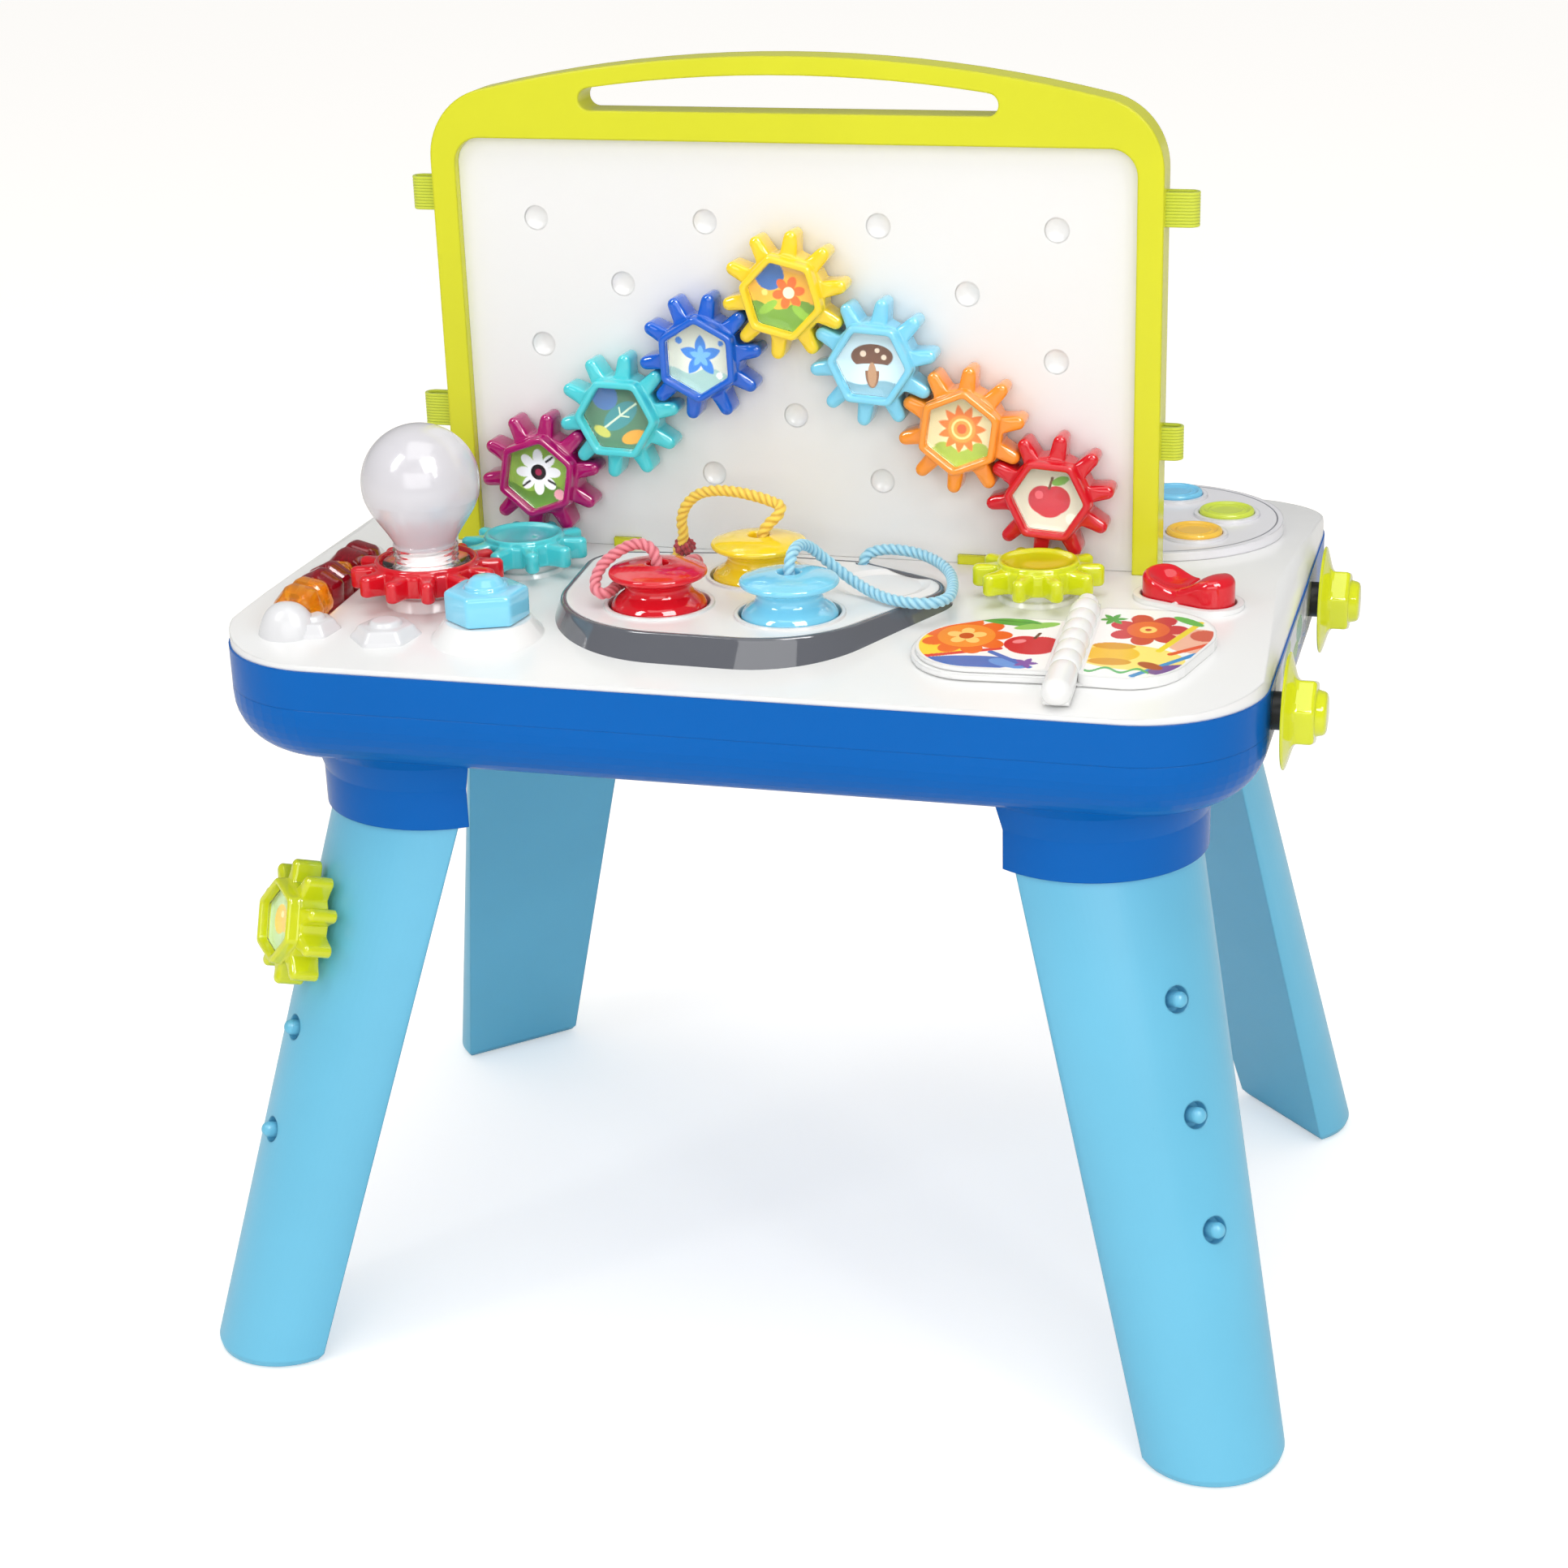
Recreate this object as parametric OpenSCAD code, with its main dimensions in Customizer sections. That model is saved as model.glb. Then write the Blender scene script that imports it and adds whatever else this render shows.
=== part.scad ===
// Musical activity table for babies: a tub on four plug-in legs, an upright peg board with
// seven meshing gears, and a crowned deck that carries gears, a bulb, beads, spools on
// ropes, a flip book, a rocker, light-up buttons and two side knobs.
// Millimetres. +X is the child's right, +Y points to the back, +Z is up.
// The origin lies on the floor, under the middle of the peg board's face.

/* [Table] */
// Width of the table top
table_w = 460.8; // [440:0.2:520]
// Depth of the table top
table_d = 334; // [330:1:370]
// Plan radius of the table's corners
corner_r = 55; // [45:1:62]
// Height of the deck's edge above the floor
rim_z = 338.8; // [330:0.2:370]
// Height of the upper blue band
band_h = 17.8; // [17:0.2:22]
// Height of the blue tub under the band
tub_h = 29; // [28:1:40]
// Rounding of the tub's lower edge
tub_edge_r = 25; // [10:1:26]
// Wall of the moulded shells
shell_t = 3; // [2:0.1:4]
// Height of the deck's crown above its edge line
crown_h = 12.2; // [11:0.1:16]
// Fall of the crown towards the front and the back
crown_fall = 9.8; // [8:0.1:10.5]
// Rounding of the deck's left and right edges
deck_edge_r = 10; // [4:1:10]

/* [Legs] */
// Half distance between the feet, side to side
foot_x = 217; // [205:0.2:230]
// Half distance between the feet, front to back
foot_y = 155.4; // [145:0.2:165]
// Half distance between the leg tops, side to side
hip_x = 159.8; // [155:0.2:162]
// Half distance between the leg tops, front to back
hip_y = 93.4; // [90:0.2:96]
// Length of a leg below its socket
leg_z = 256; // [240:1:262]
// Half width of a leg at the foot
foot_half = 32.9; // [28:0.1:36]
// Half width of a leg at the top
hip_half = 47.6; // [44:0.1:48]
// Bulge of a leg at the foot
foot_bulge = 37.2; // [33:0.1:38]
// Bulge of a leg at the top
hip_bulge = 36.5; // [34:0.1:38]
// Wall of a leg
leg_t = 2.5; // [1.8:0.1:3.5]
// Play between a leg's spigot and its socket
leg_play = 0.2; // [0.1:0.05:0.4]
// Length of the spigot on top of a leg
spigot_h = 26; // [18:1:30]
// Wall of a leg socket
socket_t = 3.2; // [2.4:0.1:4]
// Height of the highest leg peg
peg_top_z = 204; // [195:1:210]
// Pitch of the leg pegs
peg_pitch = 48; // [40:1:52]
// Diameter of the recess around a leg peg
peg_recess_d = 12; // [11:0.2:14]
// Diameter of a leg peg
peg_d = 7; // [5:0.1:7.2]
// Depth of a leg peg's recess
peg_depth = 6; // [4:0.5:8]
// How far a leg peg stands out of the leg
peg_out = 2.2; // [1:0.1:2.6]

/* [Board] */
// Width of the board's frame
board_w = 334; // [330:1:350]
// Height of the frame's top above the floor
board_top_z = 577; // [570:1:600]
// Thickness of the frame
board_t = 17; // [15:0.5:20]
// How far the frame stands in front of the peg panel
lip_y = 5; // [3:0.5:7]
// Radius of the frame's top arch
arch_r = 640; // [600:10:700]
// Radius of the frame's upper corners
board_corner_r = 32; // [26:1:38]
// Width of the frame beside the window
stile_w = 11.5; // [10:0.5:15]
// Height of the frame above the window, in its middle
head_h = 37.3; // [35:0.1:47]
// Radius of the window's upper corners
window_r = 12; // [6:1:16]
// How deep the panels sit behind the window's edge
rebate = 3.5; // [2:0.5:5]
// Half length of the handle slot
slot_half = 95; // [80:1:100]
// Height of the slot's lower edge above the window
slot_up = 12.8; // [10:0.2:15]
// Height of the slot in its middle
slot_h = 16.3; // [12:0.1:17]
// Thickness of the peg panel and of the back panel
panel_t = 3; // [2:0.1:4]
// Radius of a peg hole
hole_r = 5.5; // [5.4:0.05:5.8]
// Wall of a peg hole's cup
cup_t = 1.8; // [1.2:0.1:2.4]
// Half the distance between peg holes in a row
hole_dx = 39.94; // [39.94:0.02:40.6]
// Distance between the rows of peg holes
hole_dz = 28.95; // [28.95:0.01:29.6]
// Height of the lowest row of peg holes above the deck
hole_row_z = 36.8; // [36:0.1:40]
// Width of a webbing loop
tape_w = 15; // [10:0.5:20]
// Thickness of the webbing
tape_t = 1.5; // [1:0.1:2]

/* [Gears] */
// Teeth on a gear
gear_teeth = 10; // [10:1:10]
// Radius of a gear's hub
hub_r = 19; // [17:0.1:19]
// Radius over a gear's teeth
tip_r = 29; // [27:0.1:29]
// Half width of a tooth at its root
tooth_root = 3.7; // [3:0.1:3.9]
// Half width of a tooth at its tip
tooth_tip = 3.1; // [2.6:0.1:3.3]
// Thickness of a board gear
gear_t = 13.5; // [12:0.5:13.5]
// Gap between the panel and a gear
gear_gap = 3; // [2:0.1:3]
// Circumradius of the six-sided bezel
bezel_r = 20; // [19:0.1:20]
// Circumradius of the window in the bezel
bezel_in_r = 16.4; // [15:0.1:17]
// Height of the bezel above the teeth
bezel_h = 5.5; // [3:0.1:5.5]
// Thickness of a gear's picture window
window_t = 4; // [2:0.1:5]
// Radius of a gear's axle
axle_r = 4; // [3:0.1:4.5]
// Play of an axle in its bore
fit = 0.05; // [0.02:0.01:0.09]
// Gap left between pieces that move past each other
gap = 0.3; // [0.2:0.05:0.5]
// Thickness of a deck gear
deck_gear_t = 12; // [10:0.5:12]
// Height of the deck gears' tops above the deck's crown
deck_gear_up = 16.5; // [15.5:0.5:16.5]
// Distance of the deck gears from the board
deck_gear_y = 41; // [41:0.5:46]
// How far a gear's edges are eased
ease = 0.9; // [0.5:0.1:1.2]
// Teeth on the gear under the bulb
bulb_teeth = 12; // [12:1:12]
// Direction from the left deck gear to the bulb
bulb_dir = 237.5; // [232:0.5:242]
// Distance between the left deck gear and the bulb gear
bulb_dist = 54.3; // [54.2:0.1:56]

/* [Bulb] */
// Radius of the globe
globe_r = 26.2; // [20:0.2:28]
// Height of the globe's middle above its flange
globe_up = 37.5; // [34:0.5:41]
// Radius of the bulb's flange
flange_r = 19.7; // [16:0.1:20]
// Radius of the bulb's neck
neck_r = 13.4; // [11:0.1:15]
// Radius of the column under the bulb
column_r = 10; // [8:0.5:12]

/* [Rail] */
// Distance of the bead rail from the table's left side
rail_in = 33.8; // [33:0.2:34.4]
// Radius of the beads
bead_r = 11; // [9:0.1:11.2]
// Radius of the rail's rod
rod_r = 3; // [2:0.1:4]
// Height of the rail above the deck's crown
rail_up = 1; // [0.5:0.5:5]

/* [Tray] */
// Height of the tray's top above the deck's crown
tray_up = 5; // [4:0.5:8]
// Width of the grey rim's slope
rim_slope = 6; // [4:0.5:8]
// Width of the grey edge that frames the white tray
rim_edge = 2.5; // [1.5:0.5:4]
// Radius of a spool's well
well_r = 22.3; // [21.6:0.1:23]
// Depth of a well
well_depth = 14; // [10:1:18]
// Radius of a spool's foot
spool_foot_r = 21; // [18:0.1:21.2]
// Radius of a spool's disc
spool_disc_r = 21.5; // [18:0.1:23]
// Radius of a spool's waist
spool_waist_r = 14.5; // [11:0.1:16]
// Radius of a spool's stem
stem_r = 6; // [4:0.1:7]
// How far a spool can be pulled up
spool_lift = 29; // [15:1:30]
// Radius of a rope
rope_r = 2.5; // [1.5:0.1:2.6]

/* [Book] */
// Half length of the book's spine
spine_half = 47; // [44:1:50]
// Width of the spine
spine_w = 11; // [9:0.5:12]
// Thickness of the page
page_t = 2; // [1.5:0.1:2.4]
// Radius of the hinge pin
pin_r = 2; // [1.5:0.1:2.4]

/* [Palette, rocker and knobs] */
// Height of the palette above the deck's crown
palette_up = 4; // [3:0.5:6]
// Radius of the palette's ends
palette_r = 60; // [56:0.5:60]
// Radius of a light-up button
button_r = 13; // [10:0.1:13.5]
// Stroke of a button
button_stroke = 2.5; // [1:0.1:3]
// Radius of a rocker lobe
rocker_r = 10.5; // [9:0.1:11]
// Half distance between the rocker's lobes
rocker_half = 11.5; // [10:0.5:12]
// Circumradius of the deck's hexagon knob
knob_hex_r = 18.6; // [15:0.1:18.8]
// Height of the deck's hexagon knob
knob_h = 13.5; // [10:0.5:15]
// Radius of a side knob's dish
side_dish_r = 24.8; // [18:0.1:25]
// Distance of the front side knob in front of the board
side_front_y = 99; // [95:1:102]
// Distance of the rear side knob behind the board
side_rear_y = 56; // [52:1:60]
// Length of a side knob beyond its bush
side_knob_l = 17.5; // [14:0.1:17.5]

/* [Hidden] */
$fn = 64;

tiny = 0.01;
seat = 0.1;
lime = "#dce51f";
white = "#f6f6f4";
blue = "#146fcb";
sky = "#7fd3f3";

// Deck: the crown is a wide cylinder that lies along X
deck_z = rim_z + crown_h;
half_d = table_d / 2;
crown_r = (half_d * half_d + crown_fall * crown_fall) / (2 * crown_fall);
seam_z = rim_z - band_h;
tub_z = seam_z - tub_h;
floor_z = tub_z + shell_t;
function deck_at(y) = deck_z - crown_r + sqrt(crown_r * crown_r - y * y);

// Legs: a circle cut by a chord, swept from foot to hip; the bulge faces outwards
foot_r = (foot_half * foot_half + foot_bulge * foot_bulge) / (2 * foot_bulge);
hip_r = (hip_half * hip_half + hip_bulge * hip_bulge) / (2 * hip_bulge);
lean = atan((norm([foot_x - hip_x, foot_y - hip_y]) + foot_bulge - hip_bulge) / leg_z);

// Board
back_y = board_t - lip_y;
arch_z = board_top_z - arch_r;
board_xc = board_w / 2 - board_corner_r;
board_zc = arch_z + sqrt(pow(arch_r - board_corner_r, 2) - board_xc * board_xc);
window_half = board_w / 2 - stile_w;
window_top_z = board_top_z - head_h;
panel_half = window_half + rebate;
panel_foot_z = deck_z + seat;
panel_top_z = window_top_z + rebate;
cup_y = back_y - panel_t;
tab_x = [-90, 75];
tab_w = 13;
row_z = deck_z + hole_row_z;
function hole(i, k) = [i * hole_dx, row_z + k * hole_dz];
HOLES = concat([for (k = [0, 2, 4]) for (i = [-3, -1, 1, 3]) hole(i, k)],
    [for (k = [1, 3]) for (i = [-2, 0, 2]) hole(i, k)]);
// Each gear's hole, tooth phase and bezel phase
P_YELLOW = [0, 3, 10, 46];
P_DARK_BLUE = [-1, 2, 8, 32];
P_LIGHT_BLUE = [1, 2, 8, -4];
P_TEAL = [-2, 1, 10, -2];
P_ORANGE = [2, 1, 10, 22];
P_MAGENTA = [-3, 0, 8, 20];
P_RED = [3, 0, 8, -4];
GEARS = [P_YELLOW, P_DARK_BLUE, P_LIGHT_BLUE, P_TEAL, P_ORANGE, P_MAGENTA, P_RED];
gear_front = gear_t + bezel_h;
card_z = gear_t - 2;

// Deck gears
deck_gear_top = deck_z + deck_gear_up;
deck_gear_z = deck_gear_top - deck_gear_t;
deck_y = -deck_gear_y;
deck_gear_x = 3 * hole_dx;
deck_phase = 180 / gear_teeth - P_MAGENTA[2];
bulb_phase = bulb_dir + 180 + 180 / bulb_teeth
    - (deck_phase - bulb_dir) * gear_teeth / bulb_teeth;
bulb_x = -deck_gear_x + bulb_dist * cos(bulb_dir);
bulb_y = deck_y + bulb_dist * sin(bulb_dir);
bulb_hub_r = hub_r + 5;
bulb_tip_r = tip_r + 4.9;

// Rail and knobs
rail_x = -table_w / 2 + rail_in;
rail_z = deck_z + rail_up;
rail_y = [-128, -104, -80, -72.5, -46];
knob_x = -107.5;
knob_y = -121.5;
knob_z = deck_z + 2;
wall_x = table_w / 2;
side_z = seam_z + 4;
bush_r = 8.2;
bush_l = 5;

// Tray
tray_z = deck_z + tray_up;
WELLS = [[-36.5, -99], [-5, -50], [23.2, -102]];
ROPE_HOLES = [[-37, -40], [-51, -27], [36, -24]];
well_floor_z = tray_z - well_depth;

// Book: a flat assembly that follows the deck's slope
book_x = 147.5;
book_y = -107;
book_turn = 2.2;
book_slope = asin(-book_y / crown_r);
hinge_z = 5.6;

// Palette, rocker
palette_x = 150;
palette_y = 77;
palette_z = deck_z + palette_up;
BUTTONS = [[158, 114.5], [186.5, 86], [176, 50]];
button_floor = 11;
rocker_x = 185.5;
rocker_y = -37;
rocker_z = deck_z + 4.5;
rocker_turn = -24;

// Ropes: hand-chosen points, each from a spool's top hole to a hole in the tray
ROPE_BLUE = [[23.2, -101.8, 371.5], [23.2, -101.4, 375.5], [23.3, -99, 379.5],
    [23.5, -93, 382], [24.2, -85, 381.8], [26, -77, 378.5], [30, -71, 372.3],
    [37, -69, 366], [45, -72, 362], [54, -78, 359.8],
    [64, -84, 359], [75, -87, 359], [83, -85, 359], [87, -77, 359], [86.5, -66, 359.2],
    [84, -54, 359.5], [80, -43, 360], [73, -33, 361], [64, -26, 362], [54, -22.5, 362.5],
    [46, -21, 362], [40, -21, 360.5], [37, -22.5, 358.5], [36, -24, 354]];
ROPE_YELLOW = [[-4, -49, 371.5], [-3, -49, 376], [0, -48.5, 380], [3.5, -47, 383.5],
    [4, -44.5, 386.5], [-1, -42, 388], [-9, -40, 389.5], [-19, -38, 390.5],
    [-29, -36, 390], [-38, -34, 387], [-44, -33, 381], [-46.5, -32, 374],
    [-46.5, -30.5, 367.5], [-48, -29, 362], [-50.3, -27.3, 358.5], [-51, -27, 354]];
ROPE_RED = [[-36.9, -98.6, 371.5], [-37.3, -98.2, 375.8], [-39.5, -97, 380], [-44, -96, 381.8],
    [-49, -96.3, 381.2], [-54.5, -98.3, 378.5], [-60.5, -101.8, 373.4], [-62.8, -105.5, 367.8],
    [-61.3, -109.3, 363.9], [-58.2, -109, 362.5], [-56.6, -103.5, 362.3], [-56.6, -96, 362.3],
    [-54.5, -87, 361.5], [-50.5, -77, 360], [-47, -67, 359], [-43.5, -57, 359], [-40, -48, 359.4],
    [-37.8, -43, 359.4], [-37, -40, 357.5], [-37, -40, 354]];

// Sizes that hold the soft ropes to the other pieces
rope_hole_r = rope_r + 0.8;

// ---------- helpers ----------

module slab(w, d, r, h) {
    linear_extrude(h) {
        square([w - 2 * r, d], center = true);
        square([w, d - 2 * r], center = true);
        for (x = [-1, 1], y = [-1, 1]) translate([x * (w / 2 - r), y * (d / 2 - r)]) circle(r);
    }
}

// A body with the crown's shape, lifted by up
module crown(up = 0) {
    translate([-table_w, 0, deck_z - crown_r]) rotate([0, 90, 0])
        cylinder(r = crown_r + up, h = 2 * table_w, $fn = 720);
}

// Cuts what lies under the deck's surface
module on_deck(up = seat) {
    difference() {
        children();
        crown(up);
    }
}

// Puts a shape made for the back right leg on any corner
module corner(sx, sy) {
    if (sx > 0 && sy > 0) children();
    if (sx < 0 && sy > 0) mirror([1, 0, 0]) children();
    if (sx > 0 && sy < 0) mirror([0, 1, 0]) children();
    if (sx < 0 && sy < 0) rotate([0, 0, 180]) children();
}

module hexagon(r, h, turn = 0) {
    rotate([0, 0, turn]) cylinder(r = r, h = h, $fn = 6);
}

// Turns a shape made along +Z so that it stands out of the board at a hole
module at_board(p, y = -gear_gap) {
    translate([p[0] * hole_dx, y, row_z + p[1] * hole_dz]) rotate([90, 0, 0]) children();
}

// ---------- table ----------

module deck_body(inset) {
    w = table_w - 2 * inset - 1.2;
    d = table_d - 2 * inset - 1.2;
    er = deck_edge_r;
    top = deck_z - inset;
    intersection() {
        translate([0, 0, rim_z - 4]) slab(w, d, corner_r - inset, crown_h + 8);
        crown(-inset);
        translate([0, d, 0]) rotate([90, 0, 0]) linear_extrude(2 * d) {
            translate([-w / 2, rim_z - 4]) square([w, top - er - rim_z + 4]);
            translate([-w / 2 + er, rim_z - 4]) square([w - 2 * er, top - rim_z + 4]);
            for (x = [-1, 1]) translate([x * (w / 2 - er), top - er]) circle(er);
        }
    }
}

module capsule(x, y, turn, half, r, h) {
    translate([x, y, 0]) rotate([0, 0, turn]) {
        for (s = [-1, 1]) translate([s * half, 0, 0]) cylinder(r = r, h = h);
        translate([-half, -r, 0]) cube([2 * half, 2 * r, h]);
    }
}

module top_deck() {
    color(white) translate([rocker_x, rocker_y, rocker_z - 4]) rotate([0, 0, rocker_turn])
        translate([0, -rocker_r - 2, 0]) rotate([-90, 0, 0])
        cylinder(r = 1.6 - fit, h = 2 * rocker_r + 4);
    color(white) difference() {
        union() {
            difference() {
                deck_body(0);
                difference() {
                    deck_body(shell_t);
                    // trough walls under the rail
                    translate([rail_x, rail_y[0] - 6, rail_z]) rotate([-90, 0, 0])
                        cylinder(r = bead_r + gap + 3, h = rail_y[4] - rail_y[0] + 12);
                    // cup under the rocker
                    capsule(rocker_x, rocker_y, rocker_turn, rocker_half, rocker_r + 4, deck_z);
                }
                translate([0, 0, rim_z - 10]) cube([2 * table_w, 2 * table_d, 20], center = true);
            }
            // bosses under the deck gears, the bulb and the hexagon knob
            on_deck(-1) for (p = [[-deck_gear_x, deck_y], [deck_gear_x, deck_y], [bulb_x, bulb_y]])
                translate([p[0], p[1], rim_z]) {
                    cylinder(r = 15, h = deck_gear_z - gap - rim_z);
                    cylinder(r1 = 24, r2 = 17, h = deck_z + 1 - rim_z);
                }
            on_deck(-1) translate([knob_x, knob_y, rim_z]) {
                cylinder(r1 = 30, r2 = 19, h = knob_z - gap - rim_z);
            }
            // moulded nuts and the rail's front dome
            on_deck(-1) for (p = [[-152, -130, 12], [-187, -129, 9]]) translate([p[0], p[1], rim_z]) {
                hexagon(p[2], crown_h - 1.5, 15);
                cylinder(r = p[2] / 2, h = crown_h);
            }
            for (y = [rail_y[0] - 7, rail_y[4] + 1.5]) translate([rail_x, y, rail_z - 12])
                intersection() {
                    translate([-9, 0, 0]) cube([18, 5.5, 17]);
                    translate([0, -1, 8]) rotate([-90, 0, 0]) cylinder(r = 9, h = 8);
                }
            // raised bezel around the rocker
            on_deck(-1) capsule(rocker_x, rocker_y, rocker_turn, rocker_half, rocker_r + 4,
                deck_z + 1.5);
        }
        // trough of the bead rail
        translate([rail_x, rail_y[0] - 1.5, rail_z]) rotate([-90, 0, 0])
            cylinder(r = bead_r + gap, h = rail_y[4] - rail_y[0] + 3);
        translate([rail_x, rail_y[0] - 6.5, rail_z]) rotate([-90, 0, 0])
            cylinder(r = rod_r + fit, h = rail_y[4] - rail_y[0] + 12.5);
        // rocker cup and its pin holes
        capsule(rocker_x, rocker_y, rocker_turn, rocker_half, rocker_r + 0.6 + gap, deck_z + 9);
        // wells, button cups and rope holes
        for (p = WELLS) translate([p[0], p[1], rim_z - 20]) cylinder(r = well_r + 2.3, h = 50);
        for (p = ROPE_HOLES) translate([p[0], p[1], rim_z - 20]) cylinder(r = rope_hole_r + 1.8, h = 50);
        for (p = BUTTONS) translate([p[0], p[1], rim_z - 20]) cylinder(r = button_r + 2.6, h = 50);
        // slots for the board's tabs
        for (x = tab_x) translate([x - seat, -2 - seat, rim_z])
            cube([tab_w + 2 * seat, back_y - 1 + 2 * seat, 20]);
        // axle holes
        for (p = [[-deck_gear_x, deck_y], [deck_gear_x, deck_y]])
            translate([p[0], p[1], rim_z]) cylinder(r = axle_r + seat, h = 60);
        translate([bulb_x, bulb_y, rim_z]) cylinder(r = column_r - 2 + seat, h = 60);
        translate([knob_x, knob_y, rim_z]) cylinder(r = axle_r + seat, h = 60);
    }
}

module side_holes(r) {
    for (y = [-side_front_y, side_rear_y]) translate([0, y, side_z]) rotate([0, 90, 0])
        cylinder(r = r, h = table_w);
}

module rim_band() {
    color(blue) difference() {
        translate([0, 0, seam_z]) slab(table_w, table_d, corner_r, band_h);
        translate([0, 0, seam_z - 1])
            slab(table_w - 2 * shell_t, table_d - 2 * shell_t, corner_r - shell_t, band_h + 2);
        side_holes(bush_r);
    }
}

// The tub's outside, with its lower edge rounded
module tub_hull(inset) {
    er = tub_edge_r - inset;
    r = corner_r - inset;
    hull() for (x = [-1, 1], y = [-1, 1])
        translate([x * (table_w / 2 - corner_r), y * (table_d / 2 - corner_r), 0])
            rotate_extrude($fn = 56) {
                translate([0, tub_z + inset]) square([r - er, tub_h - inset]);
                translate([0, tub_z + tub_edge_r]) square([r, tub_h - tub_edge_r]);
                intersection() {
                    translate([r - er, tub_z + tub_edge_r]) circle(er, $fn = 40);
                    translate([0, tub_z + inset]) square([r, tub_h - inset]);
                }
            }
}

// D-shaped section with its chord on the local Y axis
module d_section(half, bulge, grow = 0, cut = 0) {
    r = (half * half + bulge * bulge) / (2 * bulge);
    intersection() {
        translate([bulge - r, 0]) circle(r + grow, $fn = 96);
        translate([cut - grow, -100]) square([200, 200]);
    }
}

module at_hip(z) {
    translate([hip_x, hip_y, z]) rotate([0, 0, 45]) children();
}

module sockets() {
    top = floor_z - leg_z - 1;
    for (sx = [-1, 1], sy = [-1, 1]) corner(sx, sy) at_hip(leg_z) difference() {
        intersection() {
            translate([hip_bulge - hip_r, 0, 0]) union() {
                cylinder(r = hip_r + socket_t, h = top, $fn = 96);
                translate([0, 0, top - 20]) cylinder(r1 = hip_r + socket_t, r2 = hip_r + 7, h = 12, $fn = 96);
                translate([0, 0, top - 8]) cylinder(r1 = hip_r + 7, r2 = hip_r + 16, h = 8, $fn = 96);
            }
            translate([-socket_t, -100, -1]) cube([200, 200, 100]);
        }
        translate([0, 0, -1]) linear_extrude(spigot_h + 3)
            d_section(hip_half, hip_bulge, leg_play - 3);
    }
}

module base_tub() {
    color(blue) difference() {
        union() {
            difference() {
                union() {
                    tub_hull(0);
                    intersection() {
                        sockets();
                        translate([-table_w, -table_d, 0]) cube([2 * table_w, 2 * table_d, floor_z]);
                    }
                }
                difference() {
                    tub_hull(shell_t);
                    // screw bosses, battery box walls
                    for (p = SCREWS) translate([p[0], p[1], 0]) cylinder(r = 5, h = floor_z + 18);
                    translate([-34, 12, 0]) cube([68, 66, floor_z + 20]);
                }
                translate([0, 0, seam_z]) cube([2 * table_w, 2 * table_d, tiny], center = true);
            }
        }
        // battery bay with a ledge for its door
        translate([-32, 14, tub_z - 1]) cube([64, 62, 24]);
        translate([-35, 11, tub_z - 1]) cube([70, 68, 3.4]);
        for (p = SCREWS) translate([p[0], p[1], tub_z - 1]) {
            cylinder(r = 3.6, h = 4);
            cylinder(r = 1.6, h = 19);
        }
        // speaker grille
        for (i = [-3:3], j = [-3:3]) if (i * i + j * j < 10)
            translate([-70 + 6 * i, 20 + 6 * j, tub_z - 1]) cylinder(r = 1.6, h = 8, $fn = 24);
        side_holes(bush_r);
    }
}
SCREWS = [[-75, -120], [75, -120], [-75, 120], [75, 120], [-190, 0], [190, 0]];

// ---------- legs ----------

// One thin slice of a leg at height z, grown by grow
module leg_slice(z, grow, h = 0.5) {
    t = z / leg_z;
    translate([foot_x + (hip_x - foot_x) * t, foot_y + (hip_y - foot_y) * t, z]) rotate([0, 0, 45])
        linear_extrude(h) d_section(foot_half + (hip_half - foot_half) * t,
            foot_bulge + (hip_bulge - foot_bulge) * t, grow);
}

// Stands a shape along the axis of the peg at height z
module at_peg(z) {
    t = z / leg_z;
    b = (foot_bulge + (hip_bulge - foot_bulge) * t) * cos(45);
    translate([foot_x + (hip_x - foot_x) * t + b, foot_y + (hip_y - foot_y) * t + b, z])
        rotate([0, 90 - lean, 45]) children();
}

module leg(sx, sy) {
    PEGS = [for (k = [0:2]) peg_top_z - k * peg_pitch];
    color(sky) corner(sx, sy) {
        difference() {
            union() {
                hull() {
                    leg_slice(0, -4);
                    leg_slice(1.2, -1.6);
                    leg_slice(4, 0);
                    leg_slice(leg_z - 0.5, 0);
                }
                at_hip(leg_z - 5) linear_extrude(spigot_h + 5)
                    d_section(hip_half, hip_bulge, -3);
            }
            difference() {
                union() {
                    hull() {
                        leg_slice(leg_t + 1, -leg_t - 1.5);
                        leg_slice(leg_z - 4, -leg_t - 1);
                    }
                    at_hip(leg_z - 6) linear_extrude(spigot_h + 10)
                        d_section(hip_half, hip_bulge, -3 - leg_t);
                }
                for (z = PEGS) at_peg(z) translate([0, 0, -peg_depth - 2])
                    cylinder(r = peg_recess_d / 2 + 1.8, h = 30);
            }
            for (z = PEGS) at_peg(z) translate([0, 0, -peg_depth])
                cylinder(r = peg_recess_d / 2, h = 30);
        }
        for (z = PEGS) at_peg(z) translate([0, 0, -peg_depth - 0.5])
            cylinder(r = peg_d / 2, h = peg_depth + peg_out + 0.5);
    }
}

// ---------- board ----------

// Extrudes an outline drawn in X and Z between two depths
module upright(y0, y1) {
    translate([0, y1, 0]) rotate([90, 0, 0]) linear_extrude(y1 - y0) children();
}

module board_outline() {
    tx = board_xc * arch_r / (arch_r - board_corner_r);
    translate([-board_w / 2, panel_foot_z]) square([board_w, board_zc - panel_foot_z]);
    for (x = [-1, 1]) translate([x * board_xc, board_zc]) circle(board_corner_r);
    intersection() {
        translate([0, arch_z]) circle(arch_r, $fn = 720);
        translate([-tx, board_zc - 20]) square([2 * tx, 200]);
    }
}

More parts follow.
